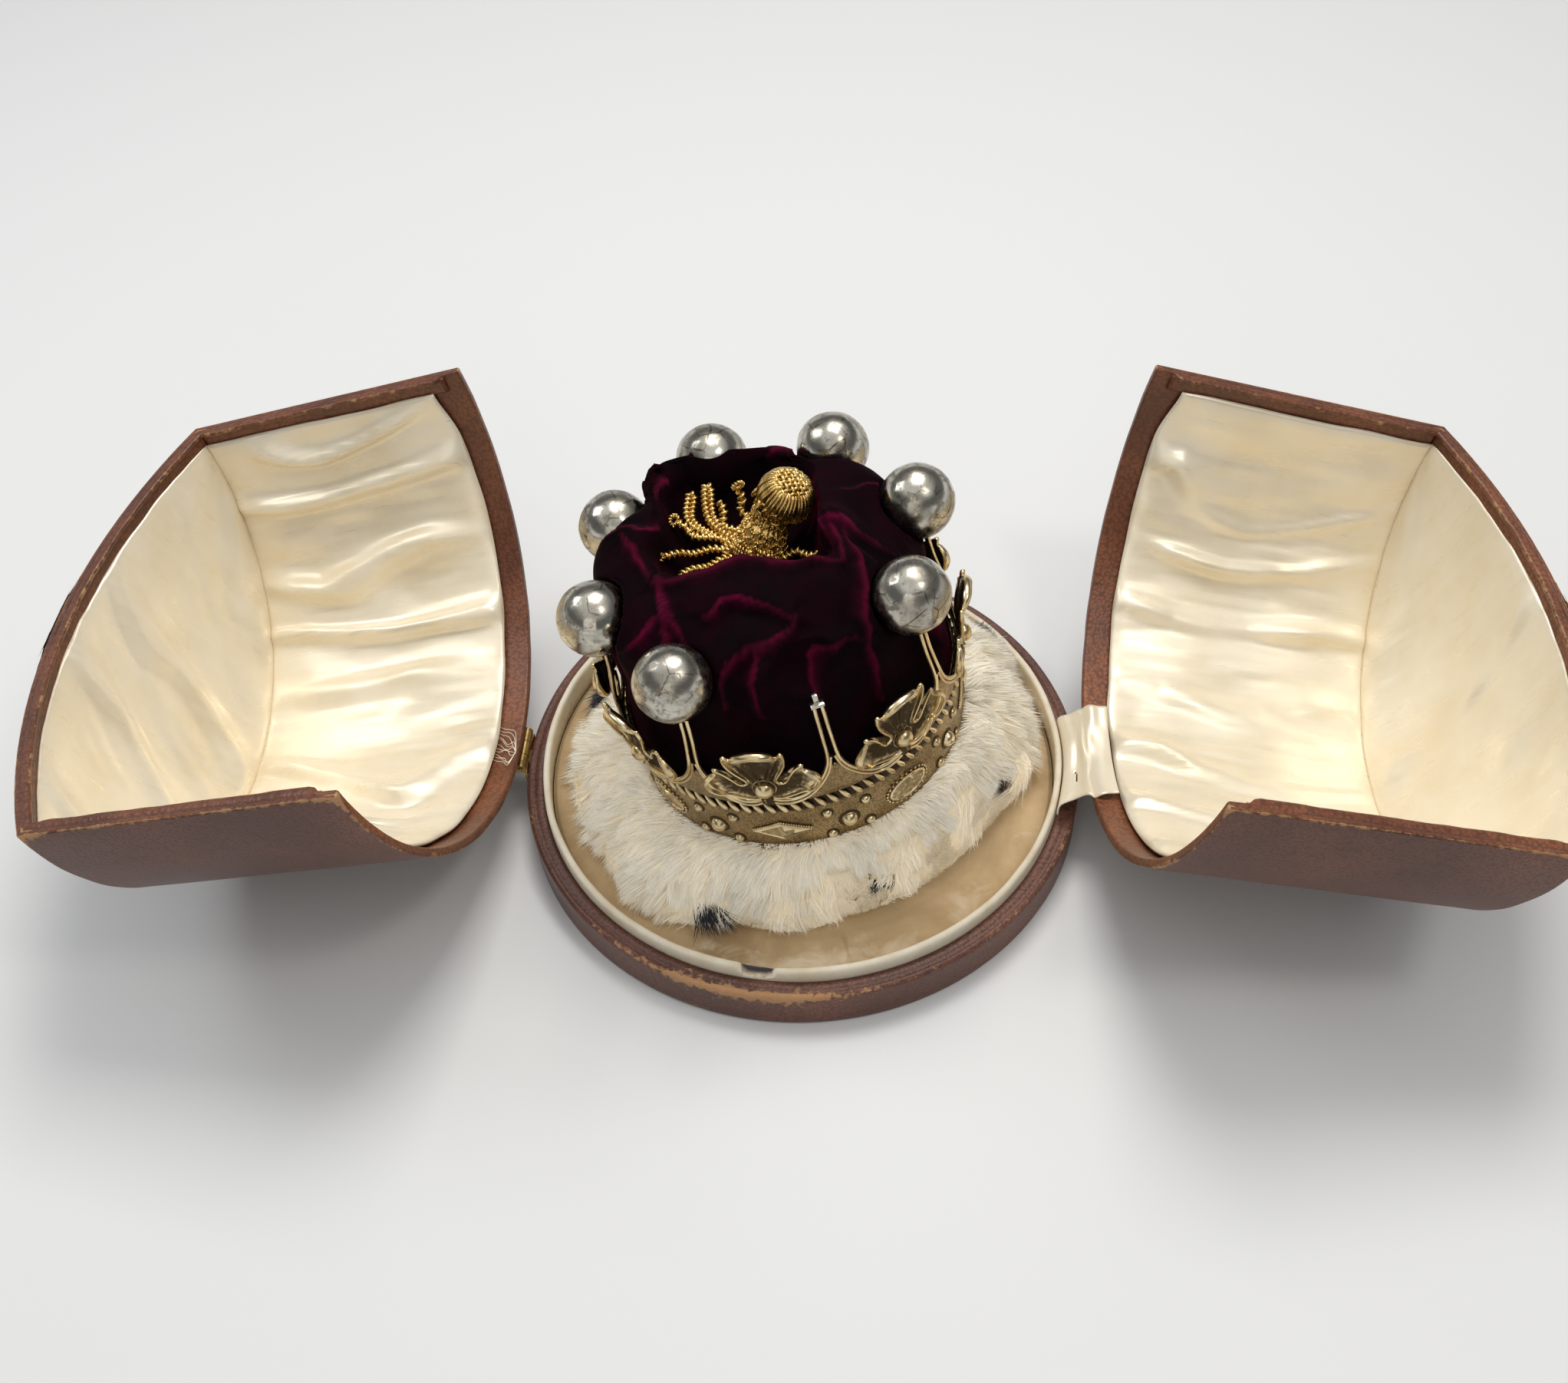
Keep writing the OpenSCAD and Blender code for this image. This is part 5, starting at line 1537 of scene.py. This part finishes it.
def addTasselHead(head):
    tilt = Vector((0, 0, 1)).rotation_difference(tassel["headWay"]).to_matrix().to_4x4()
    placed = onCoronet @ Matrix.Translation(head) @ tilt @ Matrix.Rotation(math.radians(25), 4, "Z")
    bm = spun([(0, 7.0), (3, 6.6), (6, 5.2), (8.2, 2.8), (8.8, 0), (8.0, -3.0), (5.6, -5.0), (0, -5.6)], 32)
    makePiece(bm, "tasselHeadCore", bullion, "root", placed, fix=False)
    loops = []
    for i in range(tassel["headLoops"]):
        a = i * 360 / tassel["headLoops"] + 3 * wave(i * 5.3, 1.9)
        sway, out = 9 * wave(i * 1.3, 5.1), 0.7 * wave(i * 2.3, 8.2)
        spots = ((0, 5.2, 6.8), (0, 7.2 + out, 6.3 + out * 0.3), (sway * 0.4, 9.3 + out, 3.3),
                 (sway * 0.8, 10.0 + out, 0.0), (sway, 9.5 + out, -3.0), (sway, 7.4, -5.2))
        line = [polar(a + shift, radius, z) for shift, radius, z in spots]
        loops.append(curved(line, 7))
    for i in range(tassel["headRings"]):
        a = 150 + i * 17
        middle = polar(a, 9.4 + 1.2 * wave(i, 3.7), -3.2 + 2.2 * wave(i, 9.1))
        facing = polar(a + 90 * wave(i, 1.3), 1, 0.6 * wave(i, 6.2))
        loops.append(ringAt(middle, facing, 2.3 + 0.5 * wave(i, 2.2), 22))
    wires("tasselLoops", loops, 0.6, bullion, "root", placed)
    weave = []
    for i in range(-4, 5):
        for j in range(-4, 5):
            # a basket weave of short stitches
            x, y = i * tassel["stitch"], j * tassel["stitch"]
            if math.hypot(x, y) > tassel["crownR"]:
                continue
            way = Vector((1, 0, 0)) if (i + j) % 2 == 0 else Vector((0, 1, 0))
            middle = Vector((x, y, 8.6 - 0.05 * (x * x + y * y)))
            weave.append(curved([middle + way * x + Vector((0, 0, z)) for x, z in
                                 ((-1.45, -0.5), (-0.7, 0.3), (0.7, 0.3), (1.45, -0.5))], 3))
    wires("tasselCrown", weave, 0.62, bullion, "root", placed)


# Fur: a roll under the band with hairs combed outwards

# columns: azimuth, outer radius from the middle of the base
furReach = ((0, 78), (10, 74), (28, 72.5), (45, 73), (58, 73.5), (72, 78), (86, 87), (125, 92), (180, 88),
            (235, 89), (285, 91), (299, 87), (312, 90), (326, 89), (335, 85), (342, 79), (350, 79), (360, 78))
# section outside the band; columns: share outwards, share of the height
furSection = ((0, 1), (0.2, 1), (0.42, 0.9), (0.64, 0.72), (0.84, 0.5), (0.98, 0.25), (0.92, 0))
fur = {"inner": 57.0, "rest": 14.3, "top": 48.0, "sink": 3.0, "hairs": 132000, "parts": 4, "long": 11.5,
       "wide": 0.38, "clump": 7.0, "lockTall": 0.13, "tailLong": 5.6, "tailTall": 3.2, "tailLift": 4.4,
       "seed": 11}
# the black tails; columns: azimuth, place in the section
tails = ((-22.8, 0.82), (24.2, 0.74), (74.3, 0.74), (-109.1, 0.68), (128, 0.76), (172, 0.76), (-150, 0.76))


def levelPoint(a, radius, height):
    # azimuth and radius round the band's own axis, at a height over the table
    lean = math.radians(coronet["lean"])
    x = radius * np.sin(a)
    z = (height - x * math.sin(lean)) / math.cos(lean)
    return coronet["x"] + x * math.cos(lean) - z * math.sin(lean), -radius * np.cos(a)


def furSurface(a, t):
    # arrays of azimuth in radians and of the place in the section, 0 at the band and 1 at the floor
    reach, section = np.array(furReach, float), np.array(furSection, float)
    lean = math.radians(coronet["lean"])
    skin = coronet["bandR"] + 0.3
    edge = skin * np.sin(a) * math.sin(lean) + fur["top"] * math.cos(lean)
    ex, ey = levelPoint(a, skin, edge)
    rimR = np.interp(np.degrees(a) % 360, reach[:, 0], reach[:, 1])
    rx, ry = rimR * np.sin(a) + 2.5, -rimR * np.cos(a)
    k = t * (len(section) - 1)
    out = np.interp(k, range(len(section)), section[:, 0])
    up = np.interp(k, range(len(section)), section[:, 1])
    return np.stack([ex + (rx - ex) * out, ey + (ry - ey) * out, fur["rest"] + (edge - fur["rest"]) * up], -1)


def addFurRoll():
    def where(u, v):
        skin = furSurface(u * math.tau, v)
        middle = furSurface(u * math.tau, np.full(len(u), 0.35))
        middle[:, 2] = 26
        skin += (middle - skin) * 0.45  # drawn in, because the hairs stand out from it
        skin[:, 2] = np.maximum(skin[:, 2], fur["rest"] + 0.2)
        return skin

    bm = gridSheet(160, 18, where, round=True)
    rims = [e for e in bm.edges if e.is_boundary]
    upper = [e for e in rims if e.verts[0].co.z > 30]
    lower = [e for e in rims if e.verts[0].co.z <= 30]
    for v in corners(bmesh.ops.extrude_edge_only(bm, edges=upper)):
        v.co.z = 24
    for v in corners(bmesh.ops.extrude_edge_only(bm, edges=lower)):
        a = math.degrees(math.atan2(v.co.x - coronet["x"], -v.co.y))
        v.co = polar(a, fur["inner"], fur["rest"] + 0.2) + Vector((coronet["x"] - 5, 0, 0))
    piece = makePiece(bm, "furRoll", whiteFur, "root", along=0.15)
    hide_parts("ermine")


def addHairs():
    rng = np.random.default_rng(fur["seed"])
    count = fur["hairs"] // 1
    a = rng.uniform(0, math.tau, count)
    t = np.interp(rng.uniform(0.0, 0.97, count), (0, 0.08, 0.2, 0.38, 0.6, 0.82, 1), np.linspace(0, 1, 7))
    skin = furSurface(a, t)
    ahead = furSurface(a, np.minimum(1, t + 0.04)) - furSurface(a, np.maximum(0, t - 0.02))
    ahead /= np.linalg.norm(ahead, axis=1, keepdims=True)
    beside = furSurface(a + 0.02, t) - skin
    beside /= np.linalg.norm(beside, axis=1, keepdims=True)
    up = np.cross(beside, ahead)
    up[up[:, 2] < -0.3] *= -1
    # locks: the hairs of each small patch lean together and meet towards their tips
    size, tall = fur["clump"] / 78, fur["lockTall"]
    lockRow = np.floor(t / tall)
    shift = 0.5 * (lockRow % 2)
    lockColumn = np.floor(a / size + shift)
    key = lockColumn * 97 + lockRow * 13
    first, second = (np.sin(key * 12.9898) * 43758.5453 % 1), (np.sin(key * 78.233) * 12543.123 % 1)
    lockA = (lockColumn - shift + 0.2 + 0.6 * first) * size
    lockAt = furSurface(lockA, np.clip((lockRow + 0.2 + 0.6 * second) * tall, 0, 1))
    broad = waves(np.sin(a) * 4, np.cos(a) * 4, t * 2)[:, None]
    swing = (np.sin(key * 3.7) * 0.34)[:, None] + broad * 0.5
    lift = (0.46 + 0.38 * np.sin(key * 1.93))[:, None] + 0.55 * np.exp(-t / 0.1)[:, None]
    way = ahead * (1.0 - 0.2 * t[:, None]) + up * lift + beside * swing
    way += rng.normal(0, 0.13, (count, 3))
    black = np.zeros(count, bool)
    for az, at in tails:
        # millimetres along the fur's edge and across it
        far = np.abs((np.degrees(a) - az + 180) % 360 - 180) * 1.45
        near = far + rng.normal(0, 0.9, count) < fur["tailLong"]
        black |= near & (np.abs(t - at) * 45 + rng.normal(0, 0.6, count) < fur["tailTall"])
    way[black] = (0.55 * beside + 0.8 * ahead + 0.45 * up + rng.normal(0, 0.2, (count, 3)))[black]
    way /= np.linalg.norm(way, axis=1, keepdims=True)
    shape = np.interp(t, [0, 0.1, 0.45, 0.8, 1], [0.5, 0.75, 1.0, 1.05, 0.75])
    long = fur["long"] * rng.uniform(0.6, 1.12, count) * shape * (0.9 + (0.24 + 0.12 * t) * np.sin(key * 5.1))
    root = skin - up * fur["sink"] * np.interp(t, [0, 0.1, 1], [0.1, 0.7, 1])[:, None] - way * 1.2
    root[black] += up[black] * fur["tailLift"]
    across = np.cross(way, up + rng.normal(0, 0.3, (count, 3)))
    across /= np.linalg.norm(across, axis=1, keepdims=True)
    tipOfLock = lockAt + way * (fur["long"] * shape)[:, None]
    points = []
    for share, wide in ((0.0, 0.0), (0.48, 1.0), (1.0, 0.0)):
        p = root + way * (long * share)[:, None]
        p = p + (tipOfLock - p) * ((0.34 + 0.24 * t) * share ** 2)[:, None]
        p[:, 2] -= share ** 2 * np.interp(t, [0, 0.3, 1], [0.0, 1.2, 2.6])
        p[:, 2] = np.maximum(p[:, 2], case["floorZ"] + 0.3)
        points += [p - across * wide * fur["wide"] / 2, p + across * wide * fur["wide"] / 2] if wide else [p]
    points = np.stack(points, 1) * mm
    shade = up + 0.5 * way + beside * swing * 0.8 + rng.normal(0, 0.4, (count, 3))
    shade /= np.linalg.norm(shade, axis=1, keepdims=True)
    part = np.floor(a / math.tau * fur["parts"]).astype(int)
    groups = [(f"furHair{i + 1}", (part == i) & ~black, whiteFur) for i in range(fur["parts"])]
    for name, chosen, finish in groups + [("furTails", black, blackFur)]:
        addHairMesh(name, points[chosen], shade[chosen], finish)


def addHairMesh(name, points, shade, finish):
    # every hair is a blade of two faces, widest halfway
    starts = np.arange(len(points))[:, None] * 4
    mesh = bpy.data.meshes.new(name)
    mesh.from_pydata(points.reshape(-1, 3), [], (starts + [0, 2, 1]).tolist() + (starts + [1, 2, 3]).tolist())
    mesh.materials.append(finish)
    mesh.shade_smooth()
    mesh.normals_split_custom_set_from_vertices(np.repeat(shade, 4, axis=0))  # lit as one soft surface
    addPiece(mesh, name, "root", {"along": np.tile([0, 0.5, 0.5, 1.0], len(points))})


# The CAD parts that keep their own shape

def dressMetal():
    for name, node in frame["nodes"].items():
        if name == "left_catch" or name.startswith("clasp") or "hinge_" in name and name != "hinge_strip":
            node.data.materials.clear()
            node.data.materials.append(steel if name == "left_catch" else brass)


# Floor and light

def addStudio():
    bm = bmesh.new()
    bmesh.ops.create_grid(bm, x_segments=1, y_segments=1, size=3)
    mesh = bpy.data.meshes.new("table")
    bm.to_mesh(mesh)
    bm.free()
    pale = {"Base Color": (0.78, 0.785, 0.78, 1), "Roughness": 0.55, "Specular IOR Level": 0.3}
    mesh.materials.append(Finish("paleTable", pale).material)
    table = bpy.data.objects.new("table", mesh)
    scene.collection.objects.link(table)
    world = bpy.data.worlds.new("room")
    world.use_nodes = True
    room = Nodes(world.node_tree)
    light = world.node_tree.nodes["Background"]
    light.inputs["Color"].default_value = (0.95, 0.965, 0.985, 1)
    up = room.add("SeparateXYZ", {"Vector": room.add("TexCoord").outputs["Generated"]}).outputs["Z"]
    walls = room.times(room.ranged(up, 0.12, 0.26), room.ranged(up, 0.86, 0.6))
    room.feed(light.inputs["Strength"], room.ranged(walls, 0, 1, 0.8, 0.15))
    scene.world = world
    for name, place, size, power, tint in (("ceiling", (0.1, 0.5, 1.4), 0.6, 10.5, (1.0, 0.97, 0.93)),
                                           ("window", (-0.9, 0.3, 1.0), 0.5, 2.6, (0.93, 0.97, 1.0)),
                                           ("lamp", (0.6, -0.3, 1.3), 0.2, 2.0, (1.0, 0.96, 0.9)),
                                           ("fill", (-0.2, -1.5, 1.0), 1.1, 2.6, (1.0, 0.95, 0.88))):
        data = bpy.data.lights.new(name, "AREA")
        data.size = size
        data.energy = power
        data.color = tint
        lamp = bpy.data.objects.new(name, data)
        lamp.location = place
        lamp.rotation_euler = (Vector((0, 0, 0.05)) - Vector(place)).to_track_quat("-Z", "Y").to_euler()
        scene.collection.objects.link(lamp)
    scene.view_settings.view_transform = "Standard"


addCamera()
addStudio()
print("camera and studio ready")
addBase()
addCollar()
addPad()
print("base ready")
for side, seed in (("left", 2.0), ("right", 9.0)):
    addShell(side)
    addRims(side)
    addSideLining(side, seed)
    addEndLining(side, seed + 4)
addStrip()
addThreads()
print("covers ready")
addBand()
addRope()
addStuds()
addJewels()
addStalks()
addLeaves()
addBalls()
print("circlet ready")
addCap()
addTassel()
print("cap and tassel ready")
addFurRoll()
addHairs()
print("fur ready")
dressMetal()
